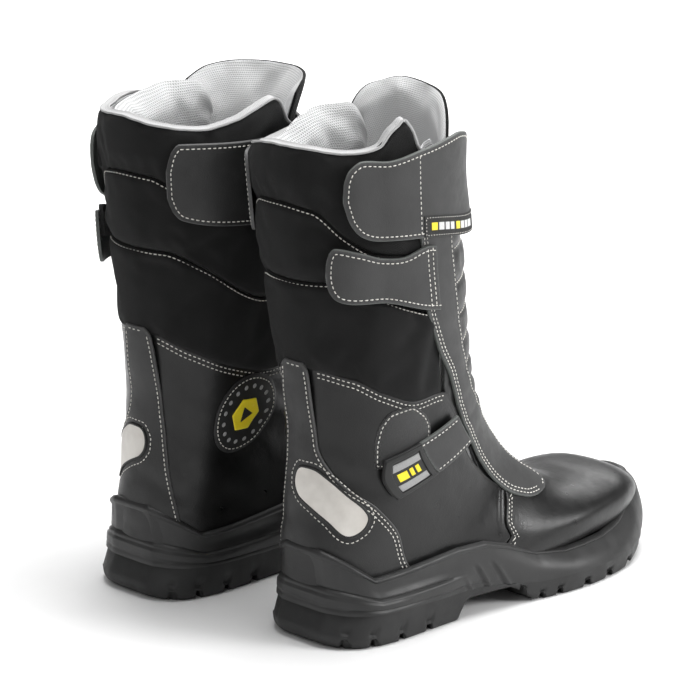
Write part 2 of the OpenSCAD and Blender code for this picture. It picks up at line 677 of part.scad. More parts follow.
// The right boot stands in front, the left one is its mirror image beside and behind it
module boot(side) {
    back = side == "left" ? left_setback : 0;
    translate([side == "left" ? -boot_pitch / 2 : boot_pitch / 2, left_setback / 2 - back - boot_middle, 0])
        mirror([side == "left" ? 1 : 0, 0, 0]) children();
}

for (side = SIDES, name = PIECES) {
    boot(side) piece(name);
}
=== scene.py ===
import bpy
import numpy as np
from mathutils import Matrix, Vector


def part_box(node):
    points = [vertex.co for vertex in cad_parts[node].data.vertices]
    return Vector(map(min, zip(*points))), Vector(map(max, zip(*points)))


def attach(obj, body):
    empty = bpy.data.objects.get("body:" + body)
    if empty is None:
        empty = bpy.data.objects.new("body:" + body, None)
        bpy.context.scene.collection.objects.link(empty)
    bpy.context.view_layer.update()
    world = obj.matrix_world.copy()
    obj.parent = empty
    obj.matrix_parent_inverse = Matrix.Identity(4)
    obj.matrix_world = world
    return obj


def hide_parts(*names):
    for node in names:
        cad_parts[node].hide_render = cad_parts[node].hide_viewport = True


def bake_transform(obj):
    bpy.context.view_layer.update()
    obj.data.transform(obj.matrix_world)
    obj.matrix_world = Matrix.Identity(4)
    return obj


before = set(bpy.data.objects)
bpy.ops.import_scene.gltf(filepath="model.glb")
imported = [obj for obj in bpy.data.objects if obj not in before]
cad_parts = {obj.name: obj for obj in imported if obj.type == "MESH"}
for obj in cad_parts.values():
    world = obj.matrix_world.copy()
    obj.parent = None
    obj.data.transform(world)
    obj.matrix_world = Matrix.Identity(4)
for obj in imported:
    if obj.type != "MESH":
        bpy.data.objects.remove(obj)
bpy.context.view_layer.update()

# Looks for a pair of high fire boots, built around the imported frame.
#
# As in the CAD, every panel of a boot lies on one shared surface, the last. A place on it is a
# section number (0 at the collar, 17 at the toe tip) and an angle in degrees (0 in front, 90 on the
# outer side, 180 at the back, 270 or -90 on the inner side). Lifts are heights above it, in mm. Each
# piece is built in mm in the right boot's own frame, and placed, or mirrored and placed, in metres.

MM = 0.001
SIDES = ("right", "left")
# Where the shank starts behind a boot's own origin, in mm: the boots are placed by it
SHANK_START = 62

# The last, one section a row from the collar to the toe tip:
# [back y, back z, front y, front z, middle x, half width, squareness in front, squareness behind]
LAST = np.array([
    [-10, 345, 134, 352, -9, 58, 2.1, 2.1],
    [-8, 302, 135, 310, -8, 57, 2.1, 2.1],
    [-3, 255, 136, 266, -7, 55, 2.1, 2.1],
    [4, 205, 139, 225, -5, 53, 2.1, 2.1],
    [9, 158, 143, 189, -4, 50, 2.1, 2.1],
    [10, 118, 149, 158, -3, 47, 2.1, 2.2],
    [7, 82, 158, 133, -2, 45, 2.1, 2.3],
    [5, 50, 170, 112, -1, 43, 2.1, 2.6],
    [14, 24, 184, 95, 0, 43, 2.1, 3],
    [54, 20, 200, 81, 1, 45, 2.1, 3.2],
    [100, 20, 217, 70, 2, 48, 2.1, 3.4],
    [146, 20, 234, 63, 3, 51, 2.2, 3.4],
    [190, 20, 251, 61, 2, 52, 2.3, 3.2],
    [229, 20, 269, 61, -1, 51, 2.4, 3],
    [260, 22, 286, 59, -3, 47, 2.4, 2.8],
    [285, 26, 302, 53, -5, 38, 2.3, 2.5],
    [301, 32, 311, 46, -7, 25, 2.1, 2.2],
    [310, 39, 315, 42, -8, 10, 2, 2]], float)
TOE = len(LAST) - 1

# Edges of bands and panels as [angle, section]. The padded tops are pressed down differently on the
# two boots.
COLLAR_TOPS = {
    "right": [[80, 0.85], [90, 0.5], [94, 0.18], [99, -0.07], [106, 0.08], [114, 0.35], [125, 0.4],
        [137, 0.38], [160, 0.3], [180, 0.28], [200, 0.36], [220, 0.5], [236, 0.62], [254, 0.62],
        [266, 0.6], [277, 0.55], [290, 0.7], [302, 0.8]],
    "left": [[80, 0.85], [90, 0.5], [99, 0.42], [106, 0.4], [114, 0.4], [125, 0.42], [137, 0.4],
        [160, 0.33], [180, 0.28], [200, 0.36], [236, 0.47], [254, 0.4], [266, 0.3], [277, 0.2],
        [283, 0.3], [290, 0.62], [302, 0.8]]}
TONGUE_TOPS = {
    "right": [[-60, 0.75], [-56, 0.42], [-42, 0.07], [-20, -0.07], [-4, -0.03], [10, 0.05],
        [20, 0.15], [35, 0.5], [48, 0.95], [65, 1.35]],
    "left": [[-65, 0.5], [-60, 0.3], [-50, 0.15], [-36, 0.12], [-18, 0.13], [0, 0.16], [30, 0.18],
        [50, 0.25], [62, 0.4], [69, 0.5]]}
# How far the tongue's top leans outwards, in mm
TONGUE_FLARE = {"right": 2.0, "left": 9.0}
# The left boot's top strap starts lower behind its collar padding, which stands higher there
STRAP_TOPS = {
    "right": [[-148, 1], [-145, 0.75], [-140, 0.63], [-100, 0.7], [-60, 0.8], [-30, 0.9], [0, 0.9],
        [30, 0.75], [50, 0.5], [64, 0.43], [92, 0.47], [110, 0.52], [126, 0.46], [133, 0.56], [136, 0.72],
        [137, 0.92]],
    "left": [[-148, 1], [-145, 0.75], [-140, 0.63], [-100, 0.7], [-60, 0.8], [-30, 0.9], [0, 0.9],
        [30, 0.8], [50, 0.7], [64, 0.66], [92, 0.64], [110, 0.6], [126, 0.5], [133, 0.58], [136, 0.72],
        [137, 0.92]]}
PAD_TOPS = {
    "right": [[50, 1.05], [54, 0.75], [63, 0.57], [82, 0.6], [96, 0.7], [120, 0.55], [160, 0.42],
        [180, 0.4], [220, 0.5], [250, 0.58], [268, 0.42], [283, 0.33], [299, 0.33], [308, 0.5],
        [313, 0.85]],
    "left": [[50, 0.8], [54, 0.55], [63, 0.38], [82, 0.34], [96, 0.38], [120, 0.42], [160, 0.42],
        [180, 0.4], [220, 0.5], [250, 0.58], [268, 0.54], [283, 0.42], [299, 0.42], [308, 0.55],
        [313, 0.85]]}
UPPER_SEAM = [[80, 2.1], [120, 1.85], [136, 1.58], [156, 1.18], [180, 1.1], [200, 1.13], [212, 1.25],
    [250, 1.75], [302, 1.95]]
LOWER_SEAM = [[80, 3.05], [100, 2.75], [124, 2.43], [150, 2.2], [180, 2.2], [206, 2.22], [230, 2.48],
    [268, 3.2], [302, 3.5]]
LEATHER_EDGE = [[52, 8.2], [56, 7.4], [63, 6.4], [70, 5], [80, 4.43], [100, 4.27], [118, 3.95],
    [140, 3.57], [168, 3.4], [190, 3.4], [222, 3.73], [246, 4.12], [276, 4.6], [302, 4.8], [304, 7],
    [308, 8.2]]
LASTING_EDGE = [[52, 8.4], [56, 8.5], [75, 9.1], [94, 9.9], [140, 10.6], [152, 9.2], [166, 8.7],
    [180, 8.6], [194, 8.7], [208, 9.2], [220, 10.6], [266, 9.9], [285, 9.1], [304, 8.5], [308, 8.4]]
VAMP_EDGE = [[-140, 10.65], [-94, 9.95], [-75, 9.15], [-56, 8.55], [-40, 7.7], [0, 7.1], [40, 7.7],
    [56, 8.55], [75, 9.15], [94, 9.95], [140, 10.65]]
TOP_STRAP_LOWER = [[-148, 1.4], [-145, 1.6], [-140, 1.73], [-100, 1.95], [-60, 2.1], [0, 2.2],
    [46, 2.08], [92, 1.78], [106, 1.72], [120, 1.66], [128, 1.56], [134, 1.35], [137, 1.05]]
MID_STRAP_UPPER = [[84, 1.93], [90, 1.89], [104, 1.95], [116, 1.9], [130, 1.75], [143, 1.66],
    [146, 1.72], [148, 1.85], [149, 2.02]]
MID_STRAP_LOWER = [[84, 2.9], [90, 2.84], [118, 2.52], [140, 2.42], [145, 2.36], [148, 2.24],
    [149, 2.12]]
REFLECTOR_UPPER = [[129, 6.12], [132, 5.93], [144, 5.55], [158, 5.2], [172, 5], [181, 5], [186, 5.18]]
REFLECTOR_LOWER = [[129, 6.22], [132, 6.36], [140, 6.42], [160, 5.95], [172, 5.72], [181, 5.58],
    [186, 5.4]]
ANKLE_PAD_UPPER = [[91, 4.85], [94, 4.6], [104, 4.3], [116, 4.27], [124, 4.45], [127, 4.75]]
ANKLE_PAD_LOWER = [[91, 5.6], [127, 5.2]]

# Edges of strips that run down the boot, as [section, angle]
PLACKET_OUTER = [[1, 92], [2.7, 91], [3.5, 85], [4.2, 75], [5.2, 67], [6.5, 57], [8, 53], [8.8, 55],
    [9.3, 54], [9.65, 49], [9.85, 40]]
PLACKET_FRONT = [[1, 66], [3, 64], [4.5, 52], [5.5, 38], [6.5, 26], [7.2, 20], [9.2, 20], [9.7, 25],
    [9.85, 31]]
BACKSTAY_OUTER = [[3.3, 173], [3.4, 170], [4.6, 167], [5.1, 156], [6, 124], [7, 108], [8.6, 104]]
BACKSTAY_INNER = [[3.3, 188], [3.4, 193], [4.8, 200], [6, 208], [6.8, 216], [8.6, 226]]
ANKLE_STRAP_FOLD = [[5.05, 73], [6, 63]]
ANKLE_STRAP_JOIN = [[5.05, 99.6], [6, 89.6]]
ANKLE_TAB_END = [[5.05, 122], [5.35, 123], [5.7, 119], [6, 113]]

# Angles at which the top strap's end and the middle strap fold
TIP_FOLD = 92
MID_FOLD = 84
# How far the loose tips stand off, in mm, and hang down, in sections
TIP_RISE = 4.0
TIP_DROP = {"right": 0.0, "left": 0.22}

# Sole outline at the ground and at the lip as [y, outer half width, inner half width]
SOLE = [[0, 15, 12], [2, 25, 20], [8, 36, 30], [20, 45, 38], [40, 49, 42], [70, 49, 42],
    [100, 49, 41], [130, 52, 42], [160, 58, 45], [190, 63, 49], [215, 64, 52], [240, 61, 54],
    [262, 55, 54], [282, 45, 50], [300, 31, 41], [312, 17, 31], [320, 3, 20]]
LIP = [[0, 14, 11], [2, 22, 18], [8, 31, 27], [20, 40, 36], [40, 45, 43], [70, 48, 45],
    [100, 50, 45], [130, 51, 45], [160, 52, 46], [190, 53, 47], [215, 53, 49], [240, 50, 50],
    [262, 45, 50], [282, 35, 45], [300, 21, 35], [312, 9, 26], [320, -2, 16]]
SOLE_TABLE_LENGTH = 320
# Heights along the sole as [y, z]: tread, tread corner, joint of the two parts, lip
TREAD_Z = [[-12, 6], [8, 0.4], [20, 0], [102, 0], [104, 2], [107, 9], [112, 13], [148, 13.5], [156, 9],
    [166, 1], [175, 0], [262, 0], [300, 8], [326, 24]]
CORNER_Z = [[-9, 12], [20, 7], [50, 4], [102, 4], [110, 16], [150, 16], [166, 4], [266, 4],
    [300, 14], [326, 30]]
JOINT_Z = [[-9, 24], [100, 20], [130, 19], [170, 13], [266, 12], [300, 20], [326, 35]]
LIP_Z = [[-6, 66], [2, 65], [12, 58], [30, 45], [56, 47], [100, 51], [125, 50], [145, 44],
    [172, 33], [200, 28], [240, 28], [262, 32], [284, 40], [305, 45], [322, 47]]

# Rings of the sole as [outline, widening, first and last y]
TREAD_RING = (SOLE, -1.5, 4, 323)
CORNER_RING = (SOLE, 0.5, -1, 324.5)
JOINT_RING = (SOLE, 1, 5, 325)
LIP_RING = (LIP, 0, 2, 319)

# Grooves across the tread as (place along the sole, half width), and the ribs at the arch
GROOVE_DEPTH = 6.5
TREAD_GROOVES = ((13, 1.6), (31, 2.4), (55, 2.4), (81, 2.4), (165, 1.6), (181, 1.6), (197, 1.6), (223, 2.4),
    (247, 2.4), (273, 2.4), (297, 2.4))
ARCH_RIBS = (112, 128, 143)


# ---- The last ----

def spline(a, b, c, d, t):
    """Smooth between b and c, with a and d as their outer neighbours."""
    return 0.5 * (2 * b + (c - a) * t + (2 * a - 5 * b + 4 * c - d) * t**2
                  + (3 * b - a - 3 * c + d) * t**3)


def section(s):
    """Row of the last at section s, smooth between the table's rows and straight above the collar."""
    inside = np.clip(s, 0, TOE - 1e-9)
    i = np.floor(inside).astype(int)
    t = (inside - i)[..., None]
    row = spline(*(LAST[np.clip(i + k, 0, TOE)] for k in (-1, 0, 1, 2)), t)
    return row + np.minimum(s, 0)[..., None] * (LAST[1] - LAST[0])


def skin(s, angle):
    s, angle = np.broadcast_arrays(np.asarray(s, float), np.asarray(angle, float))
    row = section(s)
    c, d = np.cos(np.radians(angle)), np.sin(np.radians(angle))
    n = np.where(c >= 0, row[..., 6], row[..., 7])
    along = np.sign(c) * np.abs(c) ** (2 / n)
    across = np.sign(d) * np.abs(d) ** (2 / n)
    middle = (row[..., 0:2] + row[..., 2:4]) / 2
    half = (row[..., 2:4] - row[..., 0:2]) / 2
    return np.stack([row[..., 4] + row[..., 5] * across,
                     middle[..., 0] + half[..., 0] * along,
                     middle[..., 1] + half[..., 1] * along], -1)


def unit(v):
    return v / np.maximum(np.linalg.norm(v, axis=-1, keepdims=True), 1e-9)


def slopes(s, angle):
    """How the last's surface runs by one section and by one degree."""
    down = (skin(s + 0.02, angle) - skin(s - 0.02, angle)) / 0.04
    round_ = (skin(s, angle + 1) - skin(s, angle - 1)) / 2
    return down, round_


def normal(s, angle):
    down, round_ = slopes(s, angle)
    return unit(np.cross(round_, down))


def on_last(s, angle, lift):
    s, angle = np.asarray(s, float), np.asarray(angle, float)
    return skin(s, angle) + normal(s, angle) * np.asarray(lift)[..., None]


# ---- Curves and fields ----

def curve(points):
    """A smooth line through points that never overshoots them, as a function."""
    x, y = np.array(points, float).T
    h = np.diff(x)
    rise = np.diff(y) / h
    m = np.zeros(len(x))
    m[0], m[-1] = rise[0], rise[-1]
    same = rise[:-1] * rise[1:] > 0
    m[1:-1][same] = 2 / (1 / rise[:-1][same] + 1 / rise[1:][same])

    def at(q):
        q = np.clip(q, x[0], x[-1])
        i = np.clip(np.searchsorted(x, q) - 1, 0, len(h) - 1)
        t = (q - x[i]) / h[i]
        return ((1 + 2 * t) * (1 - t)**2 * y[i] + t * (1 - t)**2 * h[i] * m[i]
                + t * t * (3 - 2 * t) * y[i + 1] + t * t * (t - 1) * h[i] * m[i + 1])
    return at


def sheet(first, last, upper, lower):
    """Places between two edges given as [angle, section]: u runs round the boot and v down it."""
    up, low = curve(upper), curve(lower)

    def place(u, v):
        angle = first + (last - first) * u
        return up(angle) + (low(angle) - up(angle)) * v, angle
    return place


def strip(first, last, front, back):
    """Places between two edges given as [section, angle]."""
    before, after = curve(front), curve(back)

    def place(u, v):
        s = first + (last - first) * v
        return s, before(s) + (after(s) - before(s)) * u
    return place


def shifted(edge, by):
    return [[p[0], p[1] + by] for p in edge]


def ripples(points, size, seed):
    """Soft uneven waves of about this size in mm, from -1 to 1."""
    chance = np.random.default_rng(seed)
    total = 0
    for _ in range(7):
        way = unit(chance.normal(size=3)) * 2 * np.pi / (size * chance.uniform(0.7, 1.5))
        total = total + np.sin(points @ way + chance.uniform(0, 2 * np.pi))
    return total / 4


def bump(x, width):
    """1 at x = 0, fading out over this width on both sides."""
    return np.exp(-(x / width)**2)


def smooth(low, high, x):
    """From 0 at low to 1 at high, with soft ends."""
    t = np.clip((x - low) / (high - low), 0, 1)
    return t * t * (3 - 2 * t)


# ---- Meshes ----

class Boot:
    """Where one boot stands, and the body that its fixed pieces ride on."""

    def __init__(self, side):
        low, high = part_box(f"{side}_shank")
        self.side = side
        self.mirror = 1 if side == "right" else -1
        self.origin = np.array([(low.x + high.x) / 2, low.y - SHANK_START * MM, 0])
        self.body = f"{side}_boot"

    def name(self, piece):
        return f"{self.side}_{piece}"

    def world(self, points):
        return np.asarray(points) * MM * [self.mirror, 1, 1] + self.origin


def make(boot, name, points, faces, material, uv=None, edge=None):
    """A mesh object from points in mm and faces with normals outwards on the right boot."""
    mesh = bpy.data.meshes.new(boot.name(name))
    if boot.mirror < 0:
        faces = [f[::-1] for f in faces]
    mesh.from_pydata(boot.world(points).tolist(), [], faces)
    if uv is not None:
        layer = mesh.uv_layers.new(name="surface")
        corner = np.zeros(len(mesh.loops), int)
        mesh.loops.foreach_get("vertex_index", corner)
        layer.data.foreach_set("uv", np.asarray(uv, np.float32)[corner].ravel())
    if edge is not None:
        mesh.attributes.new("edge", "FLOAT", "POINT").data.foreach_set("value", edge.astype(np.float32))
    mesh.materials.append(material)
    mesh.shade_smooth()
    mesh.set_sharp_from_angle(angle=np.radians(55))
    piece = bpy.data.objects.new(boot.name(name), mesh)
    bpy.context.scene.collection.objects.link(piece)
    return piece


def grid_faces(rows, columns, offset=0, flip=False):
    a = (np.arange(rows - 1)[:, None] * columns + np.arange(columns - 1)).ravel() + offset
    quads = np.stack([a, a + 1, a + columns + 1, a + columns], -1)
    return (quads[:, ::-1] if flip else quads).tolist()


def rim_faces(rows, columns, offset):
    """Closes two grids of the same size round their edges."""
    top = np.arange(columns)
    right = np.arange(1, rows) * columns + columns - 1
    bottom = (rows - 1) * columns + np.arange(columns - 2, -1, -1)
    left = np.arange(rows - 2, 0, -1) * columns
    p = np.concatenate([top, right, bottom, left])
    q = np.roll(p, -1)
    return np.stack([q, p, p + offset, q + offset], -1).tolist()


def shell_faces(rows, columns):
    """An outer grid, then an inner grid of the same size, closed round their edges."""
    size = rows * columns
    return grid_faces(rows, columns) + grid_faces(rows, columns, size, True) + rim_faces(rows, columns, size)


def ring_faces(rings, count, first=0):
    """Faces between closed rings of points, each ring after the one before."""
    a = first + np.arange(rings - 1)[:, None] * count + np.arange(count)
    b = first + np.arange(rings - 1)[:, None] * count + (np.arange(count) + 1) % count
    return np.stack([a, b, b + count, a + count], -1).reshape(-1, 4)


def lengths(points, axis):
    return np.linalg.norm(np.diff(points, axis=axis), axis=-1)


def run_along(points):
    """Distance in mm of each point along a line of points."""
    return np.concatenate([[0], np.cumsum(lengths(points, 0))])


def surface_uv(points):
    """Distances in mm across and down a grid of points, from its middle."""
    across = np.cumsum(lengths(points, 1), 1)
    across = np.concatenate([np.zeros((len(points), 1)), across], 1)
    down = np.cumsum(lengths(points, 0), 0)
    down = np.concatenate([np.zeros((1, points.shape[1])), down], 0)
    across -= across[:, [points.shape[1] // 2]]
    down -= down[[len(points) // 2], :]
    return np.stack([across, down], -1)


# Distances in mm of the lines of points that round a border
NEAR = np.array([0, 0.12, 0.35, 0.7, 1.2, 1.9])


def spread(length, count):
    """Fractions along lines of these lengths in mm, closer together near both ends."""
    near = NEAR[:, None] * np.minimum(1, length / (6 * NEAR[-1]))
    middle = near[-1] + (length - 2 * near[-1]) * np.linspace(0, 1, count)[1:-1, None]
    return np.concatenate([near, middle, length - near[::-1]]) / length


def extent(place):
    """Even fractions, and a piece's height in mm at each of them across and its width at each down."""
    line = np.linspace(0, 1, 41)
    points = skin(*place(*np.meshgrid(line, line)))
    return line, lengths(points, 0).sum(0), lengths(points, 1).sum(1)


def measured(place, u, v):
    """Section, angle and distance in mm to the left, right, upper and lower edge at places u, v."""
    line, tall, wide = extent(place)
    height, width = np.interp(u, line, tall), np.interp(v, line, wide)
    s, angle = place(u, v)
    return s, angle, (u * width, (1 - u) * width, v * height, (1 - v) * height)


def panel_grid(place, step, closed_ends=(True, True, True, True)):
    line, height, width = extent(place)
    columns = max(4, int(width.max() / step))
    rows = max(4, int(height.max() / step))
    nominal = spread(np.array([height.mean()]), rows)[:, 0]
    u = spread(np.interp(nominal, line, width), columns).T
    v = spread(np.interp(u.mean(0), line, height), rows)
    s, angle, to_edge = measured(place, u, v)
    far = 1e3
    to_edge = [d if closed else np.full_like(d, far) for d, closed in zip(to_edge, closed_ends)]
    return s, angle, to_edge


def rounding(to_edge, radius):
    """How far a rounded border lies below the surface."""
    sides = np.maximum(0, radius - np.minimum(to_edge[0], to_edge[1]))
    ends = np.maximum(0, radius - np.minimum(to_edge[2], to_edge[3]))
    inside = np.maximum(0, radius**2 - sides**2 - ends**2)
    return radius - np.sqrt(inside)


def panel(boot, name, place, layer, material, step=2.2, relief=None, edge=0.7, grooves=(),
          closed_ends=(True, True, True, True)):
    """A leather or textile panel with rounded edges, from its inner lift to its outer lift."""
    s, angle, to_edge = panel_grid(place, step, closed_ends)
    base = skin(s, angle)
    nearest = np.minimum.reduce(to_edge)
    extra = relief(s, angle, base) if relief else 0
    lift = layer[1] + extra - rounding(to_edge, edge)
    for inset in grooves:
        lift = lift - 0.22 * bump(nearest - inset, 0.8)
    n = normal(s, angle)
    outer = base + n * lift[..., None]
    inner = base + n * (np.full(s.shape, layer[0]) + extra)[..., None]
    faces = shell_faces(*s.shape)
    points = np.concatenate([outer.reshape(-1, 3), inner.reshape(-1, 3)])
    uv = surface_uv(base).reshape(-1, 2)
    edges = np.concatenate([nearest.ravel(), np.full(nearest.size, -1.0)])
    return make(boot, name, points, faces, material, np.concatenate([uv, uv]), edges)


def applied(piece):
    """The piece's mesh with its modifiers applied."""
    shown = piece.evaluated_get(bpy.context.evaluated_depsgraph_get())
    mesh = bpy.data.meshes.new_from_object(shown)
    piece.modifiers.clear()
    piece.data = mesh
    return piece


def inflate(piece, held, pressure=4.0, cap=4.0, growth=0.02, frames=20):
    """Swells a closed cloth piece by air pressure and keeps the result. held marks its sewn points."""
    scene = bpy.context.scene
    count = len(piece.data.vertices)
    rest = np.zeros(count * 3)
    piece.data.vertices.foreach_get("co", rest)
    group = piece.vertex_groups.new(name="sewn")
    group.add(np.flatnonzero(held).tolist(), 1.0, "REPLACE")
    cloth = piece.modifiers.new("Cloth", "CLOTH")
    cloth.settings.quality = 6
    cloth.settings.mass = 0.25
    cloth.settings.use_pressure = True
    cloth.settings.uniform_pressure_force = pressure
    cloth.settings.vertex_group_mass = "sewn"
    cloth.settings.shrink_min = -growth
    cloth.settings.effector_weights.gravity = 0
    cloth.collision_settings.use_collision = False
    cloth.point_cache.frame_start = 1
    cloth.point_cache.frame_end = frames
    for number in range(1, frames + 1):
        scene.frame_set(number)
    shown = piece.evaluated_get(bpy.context.evaluated_depsgraph_get())
    swollen = np.zeros(count * 3)
    shown.data.vertices.foreach_get("co", swollen)
    piece.modifiers.clear()
    piece.vertex_groups.clear()
    scene.frame_set(1)
    move = (swollen - rest).reshape(-1, 3)
    size = np.linalg.norm(move, axis=1, keepdims=True)
    move *= np.minimum(1, cap * MM / np.maximum(size, 1e-9))
    piece.data.vertices.foreach_set("co", (rest + move.ravel()))
    piece.data.update()
    smoother = piece.modifiers.new("Subdivision", "SUBSURF")
    smoother.levels = smoother.render_levels = 1
    return applied(piece)


# How far the seams between two pads lie below the pads, in mm
SEAM_DIP = 0.4


def cushion(boot, name, place, outer, inner, material, step=5.0, seams=(), free="outer",
            pressure=4.0, cap=4.0, growth=0.02):
    """A padded piece: a closed shell between two lifts, sewn round its edges and along its seams,
    then swollen. outer and inner are functions of (s, angle, distance to the edge)."""
    _, height, width = extent(place)
    columns, rows = max(6, int(width.max() / step)), max(5, int(height.max() / step))
    v_line = np.linspace(0, 1, rows)
    for seam in seams:
        v_line[np.argmin(abs(v_line - seam))] = seam
    u, v = np.meshgrid(np.linspace(0, 1, columns), v_line)
    s, angle, to_edge = measured(place, u, v)
    nearest = np.minimum.reduce(to_edge)
    sewn = np.zeros(s.shape, bool)
    for seam in seams:
        sewn |= abs(v - seam) < 1e-9
    base, n = skin(s, angle), normal(s, angle)
    high = outer(s, angle, nearest) - SEAM_DIP * sewn
    low = inner(s, angle, nearest)
    border = nearest < 1e-6
    points = np.concatenate([(base + n * high[..., None]).reshape(-1, 3),
                             (base + n * low[..., None]).reshape(-1, 3)])
    faces = shell_faces(*s.shape)
    uv = surface_uv(base).reshape(-1, 2)
    piece = make(boot, name, points, faces, material, np.concatenate([uv, uv]),
                 np.concatenate([nearest.ravel(), nearest.ravel()]))
    fixed = (border | sewn).ravel()
    all_fixed = np.ones(fixed.size, bool)
    held = {"outer": [fixed, all_fixed], "inner": [all_fixed, fixed]}[free]
    inflate(piece, np.concatenate(held), pressure, cap, growth)
    piece.data.shade_smooth()
    return piece


# ---- Stitches ----

class Thread:
    """Gathers the stitches of one body, or of one strap, and makes them one piece."""

    def __init__(self, boot, name):
        self.boot, self.name = boot, name
        self.points, self.faces, self.count = [], [], 0

    def sew(self, path, lift, pitch=3.3, length=2.3, radius=0.4):
        """Stitches along path, an array of (s, angle), on a surface whose lift is a function."""
        path = np.asarray(path, float)
        if len(path) < 2:
            return
        run = run_along(skin(path[:, 0], path[:, 1]))
        count = max(1, int(run[-1] / pitch))
        centre = (np.arange(count) + 0.5) * run[-1] / count
        rings = np.array([-1, -0.75, 0, 0.75, 1])
        at = centre[:, None] + rings * length / 2
        s = np.interp(at, run, path[:, 0])
        angle = np.interp(at, run, path[:, 1])
        base, n = skin(s, angle), normal(s, angle)
        top = lift(s, angle, base)
        along = unit(base[:, [-1]] - base[:, [0]])
        across = np.cross(n, along)
        size = radius * np.array([0.3, 0.85, 1, 0.85, 0.3])
        rise = top + radius * np.array([-0.9, 0.0, 0.35, 0.0, -0.9])
        sides = np.radians(np.arange(6) * 60)
        ring = (base + n * rise[..., None])[:, :, None, :] \
            + size[None, :, None, None] * (0.8 * n[:, :, None, :] * np.cos(sides)[:, None]
                                           + across[:, :, None, :] * np.sin(sides)[:, None])
        first = self.count + np.arange(count)[:, None, None] * 30
        k = np.arange(4)[None, :, None] * 6
        j = np.arange(6)[None, None, :]
        a, b = first + k + j, first + k + (j + 1) % 6
        quads = np.stack([a, b, b + 6, a + 6], -1).reshape(-1, 4)
        start = first[:, 0, :] + np.arange(5, -1, -1)
        end = first[:, 0, :] + 24 + np.arange(6)
        self.points.append(ring.reshape(-1, 3))
        self.faces += quads[:, ::-1].tolist() + start[:, ::-1].tolist() + end[:, ::-1].tolist()
        self.count += count * 30

    def finish(self, material):
        points = np.concatenate(self.points)
        return make(self.boot, self.name, points, self.faces, material)


def edge_line(place, side, start=0.0, end=1.0, count=240):
    """Places along one edge of a piece, as an array of (s, angle)."""
    t = np.linspace(start, end, count)
    u, v = {"upper": (t, 0 * t), "lower": (t, 0 * t + 1), "front": (0 * t, t),
            "back": (0 * t + 1, t)}[side]
    return np.stack(place(u, v), -1)


def outline(place, count=300):
    """The whole border of a piece, clockwise seen from outside."""
    lines = [edge_line(place, "upper", count=count), edge_line(place, "back", count=count),
             edge_line(place, "lower", count=count)[::-1], edge_line(place, "front", count=count)[::-1]]
    return np.concatenate(lines)


def even(path, step=1.0):
    """The path with its places this many mm apart."""
    run = run_along(skin(path[:, 0], path[:, 1]))
    at = np.linspace(0, run[-1], max(4, int(run[-1] / step)))
    return np.stack([np.interp(at, run, path[:, 0]), np.interp(at, run, path[:, 1])], -1)


def inset(path, by, closed=False):
    """The path moved by mm inwards from an upper edge, without loops at its corners."""
    path = even(path)
    way = skin(path[:, 0], path[:, 1])
    if closed:
        along = unit(np.roll(way, -2, 0) - np.roll(way, 2, 0))
    else:
        along = unit(np.gradient(way, axis=0))
    down, round_ = slopes(path[:, 0], path[:, 1])
    across = np.cross(unit(np.cross(round_, down)), along) * by
    dd, dr, rr = (down**2).sum(1), (down * round_).sum(1), (round_**2).sum(1)
    wd, wr = (across * down).sum(1), (across * round_).sum(1)
    det = dd * rr - dr**2
    moved = path + np.stack([(wd * rr - wr * dr) / det, (wr * dd - wd * dr) / det], -1)
    there = skin(moved[:, 0], moved[:, 1])
    clear = np.linalg.norm(there[:, None] - way[None], axis=-1).min(1) > 0.93 * abs(by)
    moved = moved[clear]
    return np.concatenate([moved, moved[:1]]) if closed else moved


# ---- Materials ----

